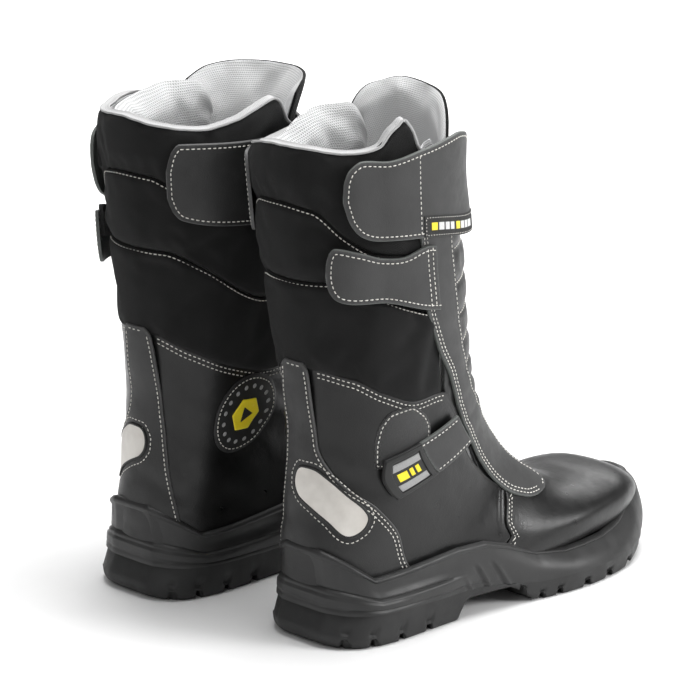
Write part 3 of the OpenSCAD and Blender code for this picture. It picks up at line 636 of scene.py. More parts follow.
class Look:
    """A node material. Keyword values of node() fill sockets by name and settings by attribute."""

    def __init__(self, name, **values):
        self.material = bpy.data.materials.new(name)
        self.material.use_nodes = True
        self.tree = self.material.node_tree
        self.shader = self.tree.nodes["Principled BSDF"]
        self.material.use_backface_culling = False
        for socket, value in values.items():
            self.set(self.shader.inputs[socket.replace("_", " ")], value)

    def set(self, socket, value):
        if isinstance(value, bpy.types.NodeSocket):
            self.tree.links.new(value, socket)
        elif socket.type == "RGBA" and len(value) == 3:
            socket.default_value = (*value, 1)
        else:
            socket.default_value = value

    def node(self, kind, out=0, settings=None, **values):
        node = self.tree.nodes.new("ShaderNode" + kind)
        for name, value in (settings or {}).items():
            setattr(node, name, value)
        for key, value in values.items():
            index = int(key[1:]) if key[0] == "i" and key[1:].isdigit() else key.replace("_", " ")
            self.set(node.inputs[index], value)
        return node.outputs[out]

    def place(self, scale=1000.0):
        """The place on the object, in mm by default."""
        return self.node("Mapping", Vector=self.node("TexCoord", out=3), Scale=(scale,) * 3)

    def surface(self):
        return self.node("UVMap", settings={"uv_map": "surface"})

    def math(self, operation, a, b=0.0):
        return self.node("Math", settings={"operation": operation}, i0=a, i1=b)

    def noise(self, where, scale, detail=3.0, rough=0.5):
        return self.node("TexNoise", Vector=where, Scale=scale, Detail=detail, Roughness=rough)

    def cells(self, where, scale, feature="SMOOTH_F1"):
        return self.node("TexVoronoi", settings={"feature": feature}, Vector=where, Scale=scale)

    def range(self, value, low, high, to_low, to_high):
        return self.node("MapRange", i0=value, i1=low, i2=high, i3=to_low, i4=to_high)

    def mix(self, amount, a, b):
        node = self.tree.nodes.new("ShaderNodeMix")
        node.data_type = "RGBA"
        self.set(node.inputs[0], amount)
        self.set(node.inputs[6], a)
        self.set(node.inputs[7], b)
        return node.outputs[2]

    def blend(self, value, low, high, a, b):
        """From colour a to colour b as the value goes from low to high."""
        return self.mix(self.range(value, low, high, 0, 1), a, b)

    def split(self, where):
        """The x, y and z of a place, as sockets."""
        node = self.tree.nodes.new("ShaderNodeSeparateXYZ")
        self.tree.links.new(where, node.inputs[0])
        return node.outputs

    def edge(self):
        return self.node("Attribute", out=2, settings={"attribute_name": "edge"})

    def paint(self, colour=None, rough=None, bump=None, depth=0.3, strength=1.0):
        if colour is not None:
            self.set(self.shader.inputs["Base Color"], colour)
        if rough is not None:
            self.set(self.shader.inputs["Roughness"], rough)
        if bump is not None:
            out = self.node("Bump", Height=bump, Distance=depth * MM, Strength=strength)
            self.set(self.shader.inputs["Normal"], out)
        return self.material


def grey(value, tint=(1, 1, 1)):
    return tuple(value * t for t in tint)


def leather_look(name, dark, light, rough, grain=1.6, depth=0.12, cut=None):
    """Smooth grained leather, a little worn and lighter towards its edges, with a raw cut edge."""
    look = Look(name, Specular_IOR_Level=0.36)
    where = look.place()
    pores = look.cells(where, grain)
    creases = look.noise(where, 0.09, 5.0, 0.6)
    cloudy = look.noise(where, 0.02, 3.0)
    colour = look.blend(cloudy, 0.3, 0.7, dark, light)
    edge = look.edge()
    worn = look.math("MULTIPLY", look.range(edge, 0.2, 2.2, 1.0, 0.0),
                     look.range(look.noise(where, 0.5, 4.0), 0.4, 0.7, 0.1, 0.6))
    colour = look.mix(worn, colour, grey(light[0] * 2.6 + 0.01))
    if cut:
        fibre = look.blend(look.noise(where, 2.5, 4.0), 0.35, 0.65, cut, grey(cut[0] * 0.5))
        colour = look.mix(look.range(edge, 0.25, 0.75, 1.0, 0.0), colour, fibre)
    shine = look.range(creases, 0.3, 0.7, rough - 0.07, rough + 0.08)
    height = look.math("ADD", look.math("MULTIPLY", pores, 0.6), look.math("MULTIPLY", creases, 2.0))
    return look.paint(colour, shine, height, depth)


def textile_look(name, dark, light, pitch=0.9, depth=0.25):
    """Matt woven textile: a plain weave of threads over and under, with a little lint."""
    look = Look(name, Specular_IOR_Level=0.12, Sheen_Weight=0.06, Sheen_Roughness=0.6)
    where = look.surface()
    x, y, _ = look.split(where)
    turn = 2 * np.pi / pitch
    warp = look.math("SINE", look.math("MULTIPLY", x, turn))
    weft = look.math("SINE", look.math("MULTIPLY", y, turn))
    weave = look.math("MULTIPLY", warp, weft)
    fuzz = look.noise(look.place(), 1.4, 4.0, 0.7)
    patches = look.noise(look.place(), 0.05, 3.0)
    colour = look.mix(look.range(weave, -1, 1, 0, 0.7), dark, light)
    colour = look.mix(look.range(patches, 0.35, 0.7, 0.0, 0.5), colour, light)
    colour = look.mix(look.range(fuzz, 0.72, 0.8, 0.0, 0.35), colour, grey(0.12))
    height = look.math("ADD", look.math("MULTIPLY", weave, 0.6), fuzz)
    return look.paint(colour, look.range(fuzz, 0.3, 0.7, 0.82, 0.98), height, depth)


def honeycomb_look(name, base, hole, pitch, depth=0.5):
    """Spacer mesh: rows of small hexagonal openings in a light knit."""
    look = Look(name, Specular_IOR_Level=0.25, Sheen_Weight=0.2)
    where = look.node("Mapping", Vector=look.surface(), Scale=(1 / pitch, 1 / (0.86 * pitch), 1))
    wobble = look.noise(look.place(), 0.08, 2.0)
    column, row, _ = look.split(where)
    down = look.math("ADD", row, look.math("MULTIPLY", wobble, 1.2))
    row = look.math("FLOOR", down)
    shift = look.math("MULTIPLY", look.math("MODULO", look.math("ABSOLUTE", row), 2.0), 0.5)
    x = look.math("SUBTRACT", look.math("FRACT", look.math("ADD", column, shift)), 0.5)
    y = look.math("SUBTRACT", look.math("FRACT", down), 0.5)
    far = look.math("SQRT", look.math("ADD", look.math("MULTIPLY", x, x), look.math("MULTIPLY", y, y)))
    opening = look.range(far, 0.2, 0.42, 1.0, 0.0)
    fuzz = look.noise(look.place(), 2.0, 3.0)
    colour = look.blend(look.noise(look.place(), 0.03, 3.0), 0.3, 0.7, base, tuple(0.86 * c for c in base))
    colour = look.mix(look.math("MULTIPLY", opening, 0.8), colour, hole)
    height = look.math("ADD", look.math("MULTIPLY", opening, -1.0), look.math("MULTIPLY", fuzz, 0.15))
    return look.paint(colour, look.range(fuzz, 0.3, 0.7, 0.75, 0.92), height, depth)


def rubber_look(name, base, rough, depth=0.15, speckle=0.5):
    look = Look(name, Specular_IOR_Level=0.42)
    where = look.place()
    fine = look.noise(where, 1.8, 4.0, 0.6)
    broad = look.noise(where, 0.03, 3.0)
    scuffs = look.noise(where, 0.25, 6.0, 0.7)
    colour = look.blend(broad, 0.3, 0.7, base, tuple(1.5 * c for c in base))
    colour = look.mix(look.range(scuffs, 0.62, 0.8, 0.0, speckle), colour, grey(base[0] * 3 + 0.02))
    shine = look.range(look.noise(where, 0.1, 4.0), 0.3, 0.7, rough - 0.06, rough + 0.1)
    return look.paint(colour, shine, fine, depth)


def thread_look():
    look = Look("thread", Specular_IOR_Level=0.3, Sheen_Weight=0.3)
    where = look.place()
    twist = look.node("TexWave", Vector=where, Scale=0.9, Distortion=1.0)
    colour = look.blend(look.noise(where, 0.3, 2.0), 0.3, 0.7, grey(0.62, (1, 0.97, 0.88)),
                        grey(0.8, (1, 0.98, 0.92)))
    return look.paint(colour, look.range(twist, 0, 1, 0.55, 0.7), twist, 0.1)


def reflective_look():
    look = Look("reflective_cloth", Specular_IOR_Level=0.6, Metallic=0.15)
    where = look.place()
    beads = look.cells(where, 3.0)
    cloudy = look.noise(where, 0.06, 4.0)
    colour = look.blend(cloudy, 0.3, 0.7, grey(0.72, (1, 0.96, 0.9)), grey(0.56, (1, 0.95, 0.88)))
    return look.paint(colour, look.range(cloudy, 0.3, 0.7, 0.35, 0.5), beads, 0.05)


def loop_look():
    look = Look("loop_pile", Specular_IOR_Level=0.15, Sheen_Weight=0.5)
    where = look.place()
    curls = look.noise(where, 1.5, 6.0, 0.8)
    colour = look.blend(curls, 0.4, 0.7, grey(0.008), grey(0.05))
    return look.paint(colour, look.range(curls, 0.3, 0.7, 0.85, 1.0), curls, 0.8)


def footbed_look():
    look = Look("felt", Specular_IOR_Level=0.2)
    fibres = look.noise(look.place(), 0.8, 6.0, 0.7)
    colour = look.blend(fibres, 0.35, 0.65, grey(0.1, (0.95, 1, 1.1)), grey(0.2, (0.95, 1, 1.1)))
    return look.paint(colour, look.range(fibres, 0.3, 0.7, 0.8, 0.95), fibres, 0.4)


def steel_look():
    look = Look("brushed_steel", Metallic=1.0)
    where = look.node("Mapping", Vector=look.place(), Scale=(4.0, 0.1, 4.0))
    brushed = look.noise(where, 1.0, 4.0)
    colour = look.blend(brushed, 0.3, 0.7, grey(0.5), grey(0.66))
    return look.paint(colour, look.range(brushed, 0.3, 0.7, 0.25, 0.4), brushed, 0.03)


def fibre_look(name, dark, light):
    look = Look(name, Specular_IOR_Level=0.25)
    where = look.place()
    fibres = look.noise(where, 0.7, 5.0, 0.7)
    colour = look.blend(fibres, 0.35, 0.65, dark, light)
    return look.paint(colour, look.range(fibres, 0.3, 0.7, 0.7, 0.9), fibres, 0.2)


LOOKS = {
    "leather": leather_look("black_leather", grey(0.005), grey(0.009), 0.34),
    "overlay": leather_look("overlay_leather", grey(0.018), grey(0.026), 0.46, cut=grey(0.12)),
    "strap": leather_look("strap_leather", grey(0.034), grey(0.044), 0.52,
                          cut=grey(0.15, (0.95, 1.05, 0.97))),
    "guard": leather_look("guard_leather", grey(0.018), grey(0.026), 0.44, grain=1.2, depth=0.2),
    "shaft": textile_look("shaft_textile", grey(0.006), grey(0.013)),
    "honeycomb": honeycomb_look("honeycomb_mesh", grey(0.66, (1, 1.005, 1.01)), grey(0.42), 1.9),
    "mesh": honeycomb_look("fine_mesh", grey(0.7, (1, 1.005, 1.01)), grey(0.46), 1.5, 0.25),
    "binding": honeycomb_look("binding_mesh", grey(0.52), grey(0.36), 1.2, 0.15),
    "thread": thread_look(),
    "reflective": reflective_look(),
    "tread": rubber_look("tread_rubber", grey(0.014), 0.52),
    "sole": rubber_look("sole_rubber", grey(0.018), 0.42, 0.08, 0.3),
    "moulded": rubber_look("moulded_rubber", grey(0.012), 0.48, 0.05, 0.2),
    "yellow": rubber_look("yellow_rubber", (0.72, 0.58, 0.02), 0.45, 0.05, 0.1),
    "silver": fibre_look("silver_print", grey(0.3), grey(0.36)),
    "white": fibre_look("white_print", grey(0.6), grey(0.7)),
    "ribbon": textile_look("woven_ribbon", grey(0.03), grey(0.06), 0.6),
    "loop": loop_look(),
    "felt": footbed_look(),
    "steel": steel_look(),
    "plate": fibre_look("woven_plate", (0.6, 0.55, 0.36), (0.75, 0.7, 0.5)),
    "board": fibre_look("fibre_board", (0.6, 0.5, 0.34), (0.72, 0.62, 0.44)),
    "shell": fibre_look("cap_shell", grey(0.25), grey(0.34)),
    "stiffener": fibre_look("stiffener_sheet", grey(0.55), grey(0.68)),
}


# ---- Sole ----

def heights(table, y, rise=0.0):
    return np.interp(y, *np.array(table, float).T) + rise


def closed_spline(points, at):
    """A smooth closed curve through points, at parameters counted in points."""
    n = len(points)
    i = np.floor(at).astype(int)
    return spline(*(points[(i + k) % n] for k in (-1, 0, 1, 2)), (at - i)[:, None])


class SoleShape:
    """Rings round the sole, all sampled at the same places."""

    def __init__(self, count=620):
        points = self.corners(*JOINT_RING)
        n = len(points)
        fine = np.linspace(0, n, 6000, endpoint=False)
        run = run_along(closed_spline(points, fine))
        self.at = np.interp(np.linspace(0, run[-1], count, endpoint=False), run, fine)
        self.count = count

    def corners(self, table, grow, first, last):
        rows = np.array(table, float)
        y = first + (last - first) * rows[:, 0] / SOLE_TABLE_LENGTH
        outer = np.stack([rows[:, 1] + grow, y], -1)
        inner = np.stack([-rows[:, 2] - grow, y], -1)
        return np.concatenate([outer, inner[::-1]])

    def ring(self, table, grow, first, last):
        return closed_spline(self.corners(table, grow, first, last), self.at)


def outwards(ring):
    """Unit directions pointing out of a closed ring in the floor plane."""
    along = unit(np.roll(ring, -1, 0) - np.roll(ring, 1, 0))
    return np.stack([along[:, 1], -along[:, 0]], -1)


def tread_depth(x, y):
    """How far the tread is cut in above its lowest face."""
    slant = 0.16 * abs(x)
    side = smooth(7, 11, abs(x - 2))
    depth = np.zeros_like(x)
    for middle, half in TREAD_GROOVES:
        distance = abs(y - (middle - slant))
        depth = np.maximum(depth, GROOVE_DEPTH * side * smooth(half + 1.6, half, distance))
    channel = 3.5 * smooth(3.2, 2.0, abs(x - 2)) * smooth(8, 14, y) * smooth(312, 300, y)
    return np.maximum(depth, channel)


def sole_solid(boot, name, shape, levels, material):
    """A closed solid through rings of (x, y, z), from the lowest to the highest."""
    ring = np.arange(shape.count)
    faces = ring_faces(len(levels), shape.count).tolist()
    faces += [ring[::-1].tolist(), ((len(levels) - 1) * shape.count + ring).tolist()]
    return make(boot, name, np.concatenate(levels), faces, material)


def raised(ring, z):
    return np.concatenate([ring, z[:, None]], -1)


def build_outsole(boot, shape):
    edge = shape.ring(*TREAD_RING)
    corner = shape.ring(*CORNER_RING)
    joint = shape.ring(*JOINT_RING)
    axis = np.stack([np.full(shape.count, 2.0), np.clip(edge[:, 1], 45, 280)], -1)
    levels = []
    for t in np.linspace(0.97, 0, 44):
        ring = edge + (axis - edge) * t
        z = heights(TREAD_Z, ring[:, 1]) + tread_depth(ring[:, 0], ring[:, 1])
        levels.append(raised(ring, z))
    corner_z = heights(CORNER_Z, corner[:, 1])
    joint_z = heights(JOINT_Z, joint[:, 1])
    edge_z = heights(TREAD_Z, edge[:, 1])
    top_cut = tread_depth(corner[:, 0], corner[:, 1])
    for t in np.linspace(0, 1, 7)[1:]:
        ring = edge + (corner - edge) * np.sin(t * np.pi / 2)
        z = edge_z + (corner_z - edge_z) * t**1.5
        levels.append(raised(ring, z + top_cut * (1 - 0.8 * t)))
    for t in np.linspace(0, 1, 7)[1:]:
        ring = corner + (joint - outwards(joint) * 0.3 - corner) * t
        notch = outwards(ring) * (2.4 * (top_cut / GROOVE_DEPTH) * max(0, 1 - 2 * t))[:, None]
        levels.append(raised(ring - notch, corner_z + (joint_z - corner_z) * t))
    levels.append(raised(joint - outwards(joint) * 9, joint_z))
    return sole_solid(boot, "outsole_mesh", shape, levels, LOOKS["tread"])


def build_midsole(boot, shape):
    joint = shape.ring(*JOINT_RING)
    lip = shape.ring(*LIP_RING)
    out = outwards(joint)
    joint_z = heights(JOINT_Z, joint[:, 1])
    lip_z = heights(LIP_Z, lip[:, 1])
    heel = smooth(118, 80, joint[:, 1])
    rear = smooth(70, 10, joint[:, 1])
    arch = smooth(104, 114, joint[:, 1]) * smooth(168, 150, joint[:, 1])
    levels = [raised(joint - out * 9, joint_z)]
    for t in np.concatenate([np.linspace(0, 0.9, 34), [0.93, 0.96, 0.985, 1.0]]):
        ring = joint + (lip - joint) * t
        z = joint_z + (lip_z - joint_z) * t
        swell = (2.2 - 2.6 * rear) * np.sin(np.pi * np.clip(t * 1.05, 0, 1))
        hollow = -2.6 * bump(t - 0.62, 0.22) * heel * (1 - rear) - 1.2 * rear * (0.3 < t)
        step_one = 1.5 * smooth(0.42, 0.36, np.full(1, t)) * heel
        line_one = -0.8 * bump(t - 0.40, 0.018) * heel
        line_two = -0.9 * bump(t - 0.10, 0.02) * smooth(150, 110, joint[:, 1])
        slant = joint[:, 1] + (z - 20) * 0.55
        ribs = sum(bump(slant - start, 1.6) - 0.7 * bump(slant - start + 3.4, 1.6) for start in ARCH_RIBS)
        ribs = 1.3 * ribs * arch * smooth(0.62, 0.45, np.full(1, t))
        bead = 1.3 * np.sin(np.pi * np.clip((t - 0.88) / 0.12, 0, 1)) ** 0.7
        relief = swell + hollow + step_one + line_one + line_two + ribs + bead
        levels.append(raised(ring + out * relief[:, None], z))
    top = levels[-1][:, :2]
    inward = outwards(top)
    for reach, drop in ((1.0, -0.5), (2.0, -0.35), (3.0, 0.4), (4.2, 1.8), (8, 4)):
        levels.append(raised(top - inward * reach, lip_z - drop + 0.3))
    levels.append(raised(joint - out * 14, joint_z + 5))
    return sole_solid(boot, "midsole_mesh", shape, levels, LOOKS["sole"])


# ---- Boot pieces ----

def leather_relief(s, angle, base):
    """Soft dents and the creases that form round the ankle."""
    ankle = bump(s - 6.2, 1.3)
    folds = np.sin((base[..., 2] * 1.0 + base[..., 1] * 0.55) / 5.2 + ripples(base, 45, 11) * 1.6)
    return 0.35 * ripples(base, 38, 5) + 0.4 * ankle * folds * smooth(30, 60, angle % 360)


def strap_relief(s, angle, base):
    """Soft waves, and the loose tips that stand off the boot."""
    return 0.35 * ripples(base, 50, 21) + TIP_RISE * smooth(114, 138, angle) * smooth(3.4, 2.6, s)


def flat_relief(s, angle, base):
    return 0 * s


def lifted(top, relief=flat_relief):
    """The lift of stitches: a top with the relief of the piece that they lie on."""
    return lambda s, angle, base: top + relief(s, angle, base)


def dress(boot, node=None):
    """Hides the CAD node that a piece stands for."""
    if node:
        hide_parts(boot.name(node))


def add(boot, piece, node=None, body=None):
    """Rides a finished piece on the boot, or on another body, and dresses it."""
    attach(piece, body or boot.body)
    dress(boot, node)


def build_uppers(boot, thread):
    vamp = sheet(-140, 140, VAMP_EDGE, [[-140, 16.97], [140, 16.97]])

    def vamp_relief(s, angle, base):
        return 0.3 * ripples(base, 40, 8)

    add(boot, panel(boot, "vamp_leather", vamp, (-1.6, 0.5), LOOKS["leather"], 2.4, vamp_relief, 0.8,
                    closed_ends=(False, False, True, False)), "vamp")
    for name, first, last in (("quarter_lateral", 53, 180), ("quarter_medial", 180, 307)):
        place = sheet(first, last, LEATHER_EDGE, LASTING_EDGE)
        add(boot, panel(boot, name + "_leather", place, (-1.6, 0.4), LOOKS["leather"], 2.4, leather_relief,
                        0.8, grooves=(2.6, 5.6), closed_ends=(False, False, True, True)), name)
    upper = sheet(53, 307, LEATHER_EDGE, LASTING_EDGE)
    for gap in (2.6, 5.6):
        path = inset(edge_line(upper, "upper", 0.10, 0.97, 600), gap)
        thread.sew(path[path[:, 1] < 166], lifted(0.25, leather_relief))
        thread.sew(path[path[:, 1] > 195], lifted(0.25, leather_relief))
    for offset in (2.2, 4.6):
        path = inset(edge_line(vamp, "upper", 0.02, 0.98, 900), offset)
        thread.sew(path[abs(path[:, 1]) > 58], lifted(0.3, vamp_relief), pitch=2.9, length=2.0)


def build_back(boot, thread):
    backstay = strip(3.3, 8.6, BACKSTAY_OUTER, BACKSTAY_INNER)
    top = 2.0

    def stay_relief(s, angle, base):
        """The rounded upper end lies on top of the padded shaft."""
        return leather_relief(s, angle, base) + 2.4 * smooth(4.5, 3.7, s)

    add(boot, panel(boot, "backstay_leather", backstay, (0.2, top), LOOKS["overlay"], 2.2,
                    stay_relief, 0.7, grooves=(2.4,)), "backstay")
    border = lifted(top - 0.05, stay_relief)
    thread.sew(inset(edge_line(backstay, "front", 0.02, 0.97, 500), -2.4), border)
    thread.sew(inset(edge_line(backstay, "back", 0.02, 0.97, 500), 2.4), border)
    thread.sew(inset(edge_line(backstay, "front", 0.42, 0.97, 500), -5.2), border)
    thread.sew(inset(edge_line(backstay, "upper", 0.1, 0.9), 2.4), border)
    patch = sheet(129, 186, REFLECTOR_UPPER, REFLECTOR_LOWER)
    add(boot, panel(boot, "reflector_cloth", patch, (1.9, 2.75), LOOKS["reflective"], 1.6,
                    leather_relief, 0.35), "reflector")
    # The thick dark border round the reflector
    add(boot, border_ring(boot, "reflector_border", outline(patch), 1.8, (1.9, 3.1), LOOKS["moulded"],
                          leather_relief))
    thread.sew(inset(outline(patch), -3.6, True), border)


def border_ring(boot, name, path, width, layer, material, relief):
    """A flat rounded cord laid along a closed path, half over the edge that it hides."""
    sides = 10
    path = even(path, 1.2)
    path = np.stack([np.convolve(np.concatenate([p[-3:], p, p[:3]]), np.ones(7) / 7, "valid")
                     for p in path.T], -1)
    base, n = skin(path[:, 0], path[:, 1]), normal(path[:, 0], path[:, 1])
    along = unit(np.roll(base, -1, 0) - np.roll(base, 1, 0))
    across = np.cross(n, along)
    turn = np.linspace(0, 2 * np.pi, sides, endpoint=False)
    middle, half = sum(layer) / 2, (layer[1] - layer[0]) / 2
    lift = relief(path[:, 0], path[:, 1], base)[:, None] + middle + half * np.sin(turn)
    points = base[:, None] + n[:, None] * lift[..., None] \
        + across[:, None] * (width / 2 * np.cos(turn))[None, :, None]
    count = len(path)
    i, j = np.meshgrid(np.arange(count), np.arange(sides), indexing="ij")
    a, b = i * sides + j, i * sides + (j + 1) % sides
    c, d = (i + 1) % count * sides + (j + 1) % sides, (i + 1) % count * sides + j
    faces = np.stack([a, b, c, d], -1).reshape(-1, 4)
    return make(boot, name, points.reshape(-1, 3), faces.tolist(), material)


def build_badge(boot, thread):
    """The round badge on the inner side: a raised disc with a ring of stitches and a plain mark."""
    s0, angle0 = 5.2, 256.0
    down, round_ = slopes(np.array(s0), np.array(angle0))
    per_s, per_degree = 1 / np.linalg.norm(down), 1 / np.linalg.norm(round_)

    def at(x, y):
        """Place x mm towards the toe and y mm up from the badge's middle."""
        return s0 - y * per_s, angle0 + x * per_degree

    def disc(name, r, layer, material, cx=0.0, cy=0.0, corners=0):
        """A disc, or a plate with corners, that follows the leather and drops at its rim."""
        rings = np.concatenate([np.linspace(0.06, 0.9, 12), [0.95, 0.98, 1.0]])
        count, rows = 96, len(rings)
        turn = np.linspace(0, 2 * np.pi, count, endpoint=False)
        shape = np.ones_like(turn)
        if corners:
            wedge = 2 * np.pi / corners
            shape = np.cos(wedge / 2) / np.cos((turn + 0.3) % wedge - wedge / 2)
        rr = rings[:, None] * r * shape
        s, angle = at(cx + rr * np.cos(turn), cy + rr * np.sin(turn))
        base, n = skin(s, angle), normal(s, angle)
        drop = np.where(rings > 0.94, (rings - 0.94) / 0.06 * 0.35, 0)[:, None]
        relief = leather_relief(s, angle, base)
        outer = base + n * (layer[1] - drop + relief)[..., None]
        skirt = base[-1] + n[-1] * (layer[0] + relief[-1])[:, None]
        points = np.concatenate([outer.reshape(-1, 3), skirt])
        faces = ring_faces(rows + 1, count)[:, [0, 3, 2, 1]].tolist()
        faces += [np.arange(count).tolist(), (rows * count + np.arange(count))[::-1].tolist()]
        return make(boot, name, points, faces, material)

    add(boot, disc("badge_disc", 26.0, (0.3, 1.9), LOOKS["moulded"]), "medial_badge")
    turn = np.linspace(0, 2 * np.pi, 200)
    thread.sew(np.stack(at(23.2 * np.cos(turn), 23.2 * np.sin(turn)), -1), lifted(1.8, leather_relief), 3.0)
    for k in range(16):
        turn = k * np.pi / 8
        add(boot, disc(f"badge_mark_{k:02d}", 1.5, (1.6, 2.15), LOOKS["silver"],
                       18.2 * np.cos(turn), 18.2 * np.sin(turn)))
    add(boot, disc("badge_plate_0", 11.5, (1.7, 2.6), LOOKS["yellow"], corners=6))
    add(boot, disc("badge_plate_middle", 6.0, (2.4, 2.9), LOOKS["moulded"], corners=3))


def build_shaft(boot, thread):
    bands = (("upper", COLLAR_TOPS[boot.side], UPPER_SEAM), ("middle", UPPER_SEAM, LOWER_SEAM),
             ("lower", LOWER_SEAM, shifted(LEATHER_EDGE, 0.04)))
    for name, upper, lower in bands:
        place = sheet(80, 302, upper, lower)

        def outer(s, angle, d, name=name):
            top = 0.9 if name == "lower" else 0.6
            base = skin(s, angle)
            return top - 1.5 * np.exp(-d / 2.0) + 1.0 * (1 - np.exp(-d / 7)) + 0.35 * ripples(base, 40, 3)

        piece = cushion(boot, f"shaft_{name}_padding", place, outer, lambda s, a, d: -3.8 + 0 * s,
                        LOOKS["shaft"], 4.5, free="outer", pressure=5.0, cap=2.0, growth=0.035)
        add(boot, piece, f"shaft_{name}_band")
        if name != "upper":
            path = inset(edge_line(place, "upper", 0.0, 1.0, 900), 1.8)
            thread.sew(path, lambda s, a, b: 0.55 + 0.35 * ripples(b, 40, 3))


def build_lining(boot):
    def lining_top(angle):
        return np.where((angle > 84) & (angle < 298), curve(COLLAR_TOPS[boot.side])(angle) + 0.03, 1.0)

    # The inner sock
    columns, rows = 96, 70
    angle = np.linspace(0, 360, columns, endpoint=False)[None, :]
    t = np.linspace(0, 1, rows)[:, None]
    s = lining_top(angle) + (TOE - 0.05 - lining_top(angle)) * t
    angle = angle + 0 * t
    base, n = skin(s, angle), normal(s, angle)
    soft = 0.4 * ripples(base, 30, 9)
    outer = base + n * (soft - 4.2)[..., None]
    inner = base + n * (soft - 6.0)[..., None]
    points = np.concatenate([outer.reshape(-1, 3), inner.reshape(-1, 3)])
    size = rows * columns
    faces = ring_faces(rows, columns).tolist()
    faces += ring_faces(rows, columns, size)[:, [0, 3, 2, 1]].tolist()
    j = np.arange(columns)
    faces += np.stack([j, j + size, (j + 1) % columns + size, (j + 1) % columns], -1).tolist()
    faces += [(size - columns + j)[::-1].tolist(), (2 * size - columns + j).tolist()]
    uv = surface_uv(base).reshape(-1, 2)
    lining = make(boot, "lining_mesh", points, faces, LOOKS["mesh"], np.concatenate([uv, uv]))
    add(boot, lining, "lining")
    # The light edge binding rolled over the top of the shaft
    edge = edge_line(sheet(84, 298, COLLAR_TOPS[boot.side], UPPER_SEAM), "upper", count=700)
    path = even(edge, 1.6)
    base, n = skin(path[:, 0], path[:, 1]), normal(path[:, 0], path[:, 1])
    along = unit(np.gradient(base, axis=0))
    up = np.cross(n, along)
    wave = 0.25 * ripples(base, 12, 15)
    profile = np.array([[0.8, -0.9], [1.0, 0.0], [0.8, 0.8], [0.0, 1.5], [-1.2, 1.9], [-2.8, 1.8],
                        [-4.4, 1.2], [-5.4, 0.1], [-5.9, -1.6], [-5.0, -2.0], [-4.2, -1.0],
                        [-2.6, -0.5], [-0.6, -0.5], [0.0, -1.0]])
    points = base[:, None] + n[:, None] * (profile[:, 0] + wave[:, None])[..., None] \
        + up[:, None] * (0.65 * profile[:, 1] + 0.3 + 0.4 * wave[:, None])[..., None]
    count, sides = len(path), len(profile)
    faces = ring_faces(count, sides)[:, [0, 3, 2, 1]].tolist()
    faces += [np.arange(sides).tolist(), ((count - 1) * sides + np.arange(sides))[::-1].tolist()]
    uv = np.stack(np.broadcast_arrays(run_along(base)[:, None], np.arange(sides) * 1.4), -1).reshape(-1, 2)
    add(boot, make(boot, "collar_binding", points.reshape(-1, 3), faces, LOOKS["binding"], uv))


def build_padding(boot):
    # Collar padding: its ends lie inside the edges of the tongue
    place = sheet(50, 313, PAD_TOPS[boot.side], [[50, 1.6], [313, 1.6]])

    def tuck(angle):
        return 6.2 * (1 - smooth(70, 84, angle) * smooth(292, 278, angle))

    def outer(s, angle, d):
        return -7.0 - tuck(angle) - 1.5 * np.exp(-d / 3)

    def inner(s, angle, d):
        full = 4.5 + 7.5 * smooth(60, 90, angle) * smooth(300, 270, angle)
        return -8.0 - tuck(angle) - (full - 1.0) * np.sqrt(np.clip(d / 14, 0, 1)) \
            - 0.5 * ripples(skin(s, angle), 26, 17)

    pad = cushion(boot, "collar_padding", place, outer, inner, LOOKS["honeycomb"], 4.5, free="inner",
                  pressure=3.0, cap=3.0, growth=0.03)
    add(boot, pad, "collar_pad")
    # Tongue: light mesh inside, black textile outside
    place = sheet(-60, 65, TONGUE_TOPS[boot.side], [[-60, 3.5], [65, 3.5]])

    def flare(s):
        return TONGUE_FLARE[boot.side] * smooth(1.0, 0.1, s)

    def tongue_out(s, angle, d):
        return -7.6 - 1.5 * np.exp(-d / 3) + flare(s)

    def tongue_in(s, angle, d):
        folds = 0.9 * np.cos(np.radians(angle - 4) * 9) * smooth(0, 12, d)
        return -8.6 - 4.6 * np.sqrt(np.clip(d / 12, 0, 1)) + folds + flare(s)

    tongue = cushion(boot, "tongue_padding", place, tongue_out, tongue_in, LOOKS["mesh"], 4.5,
                     free="inner", pressure=3.0, cap=2.5, growth=0.03)
    add(boot, tongue, "tongue")
    add(boot, panel(boot, "tongue_cover", place, (-8.4, -6.6), LOOKS["shaft"], 3.0,
                    lambda s, a, b: 0.4 * ripples(b, 30, 19) + flare(s), 0.7))
    # Footbed
    place = sheet(132, 228, [[132, 8.4], [180, 8.0], [228, 8.4]], [[132, 15.3], [180, 16], [228, 15.3]])
    bed = cushion(boot, "footbed_felt", place, lambda s, a, d: -7.4 - np.exp(-d / 2),
                  lambda s, a, d: -11.0 + 2.4 * np.exp(-d / 2), LOOKS["felt"], 6.0, free="inner",
                  pressure=1.0, cap=1.0, growth=0.0)
    add(boot, bed, "footbed")


# Shin guard: first and last section, angle of its inner side edge, and its ribs
GUARD_FIRST, GUARD_LAST, GUARD_INNER = 0.8, 6.8, -57
RIB_FIRST, RIB_LAST, RIB_COUNT = 2.2, 6.0, 7


def guard_place(u, v):
    """Places on the shin guard, whose outer side edge draws in at the ankle."""
    s = GUARD_FIRST + (GUARD_LAST - GUARD_FIRST) * v
    outer_edge = 78 - 28 * smooth(5.4, 6.4, s)
    return s, GUARD_INNER + (outer_edge - GUARD_INNER) * u


def rib_wave(s):
    """From 0 at the seams between the ribs to 1 on top of each rib."""
    phase = (s - RIB_FIRST) / (RIB_LAST - RIB_FIRST) * RIB_COUNT
    return ((s > RIB_FIRST) & (s < RIB_LAST)) * np.abs(np.sin(np.pi * phase))


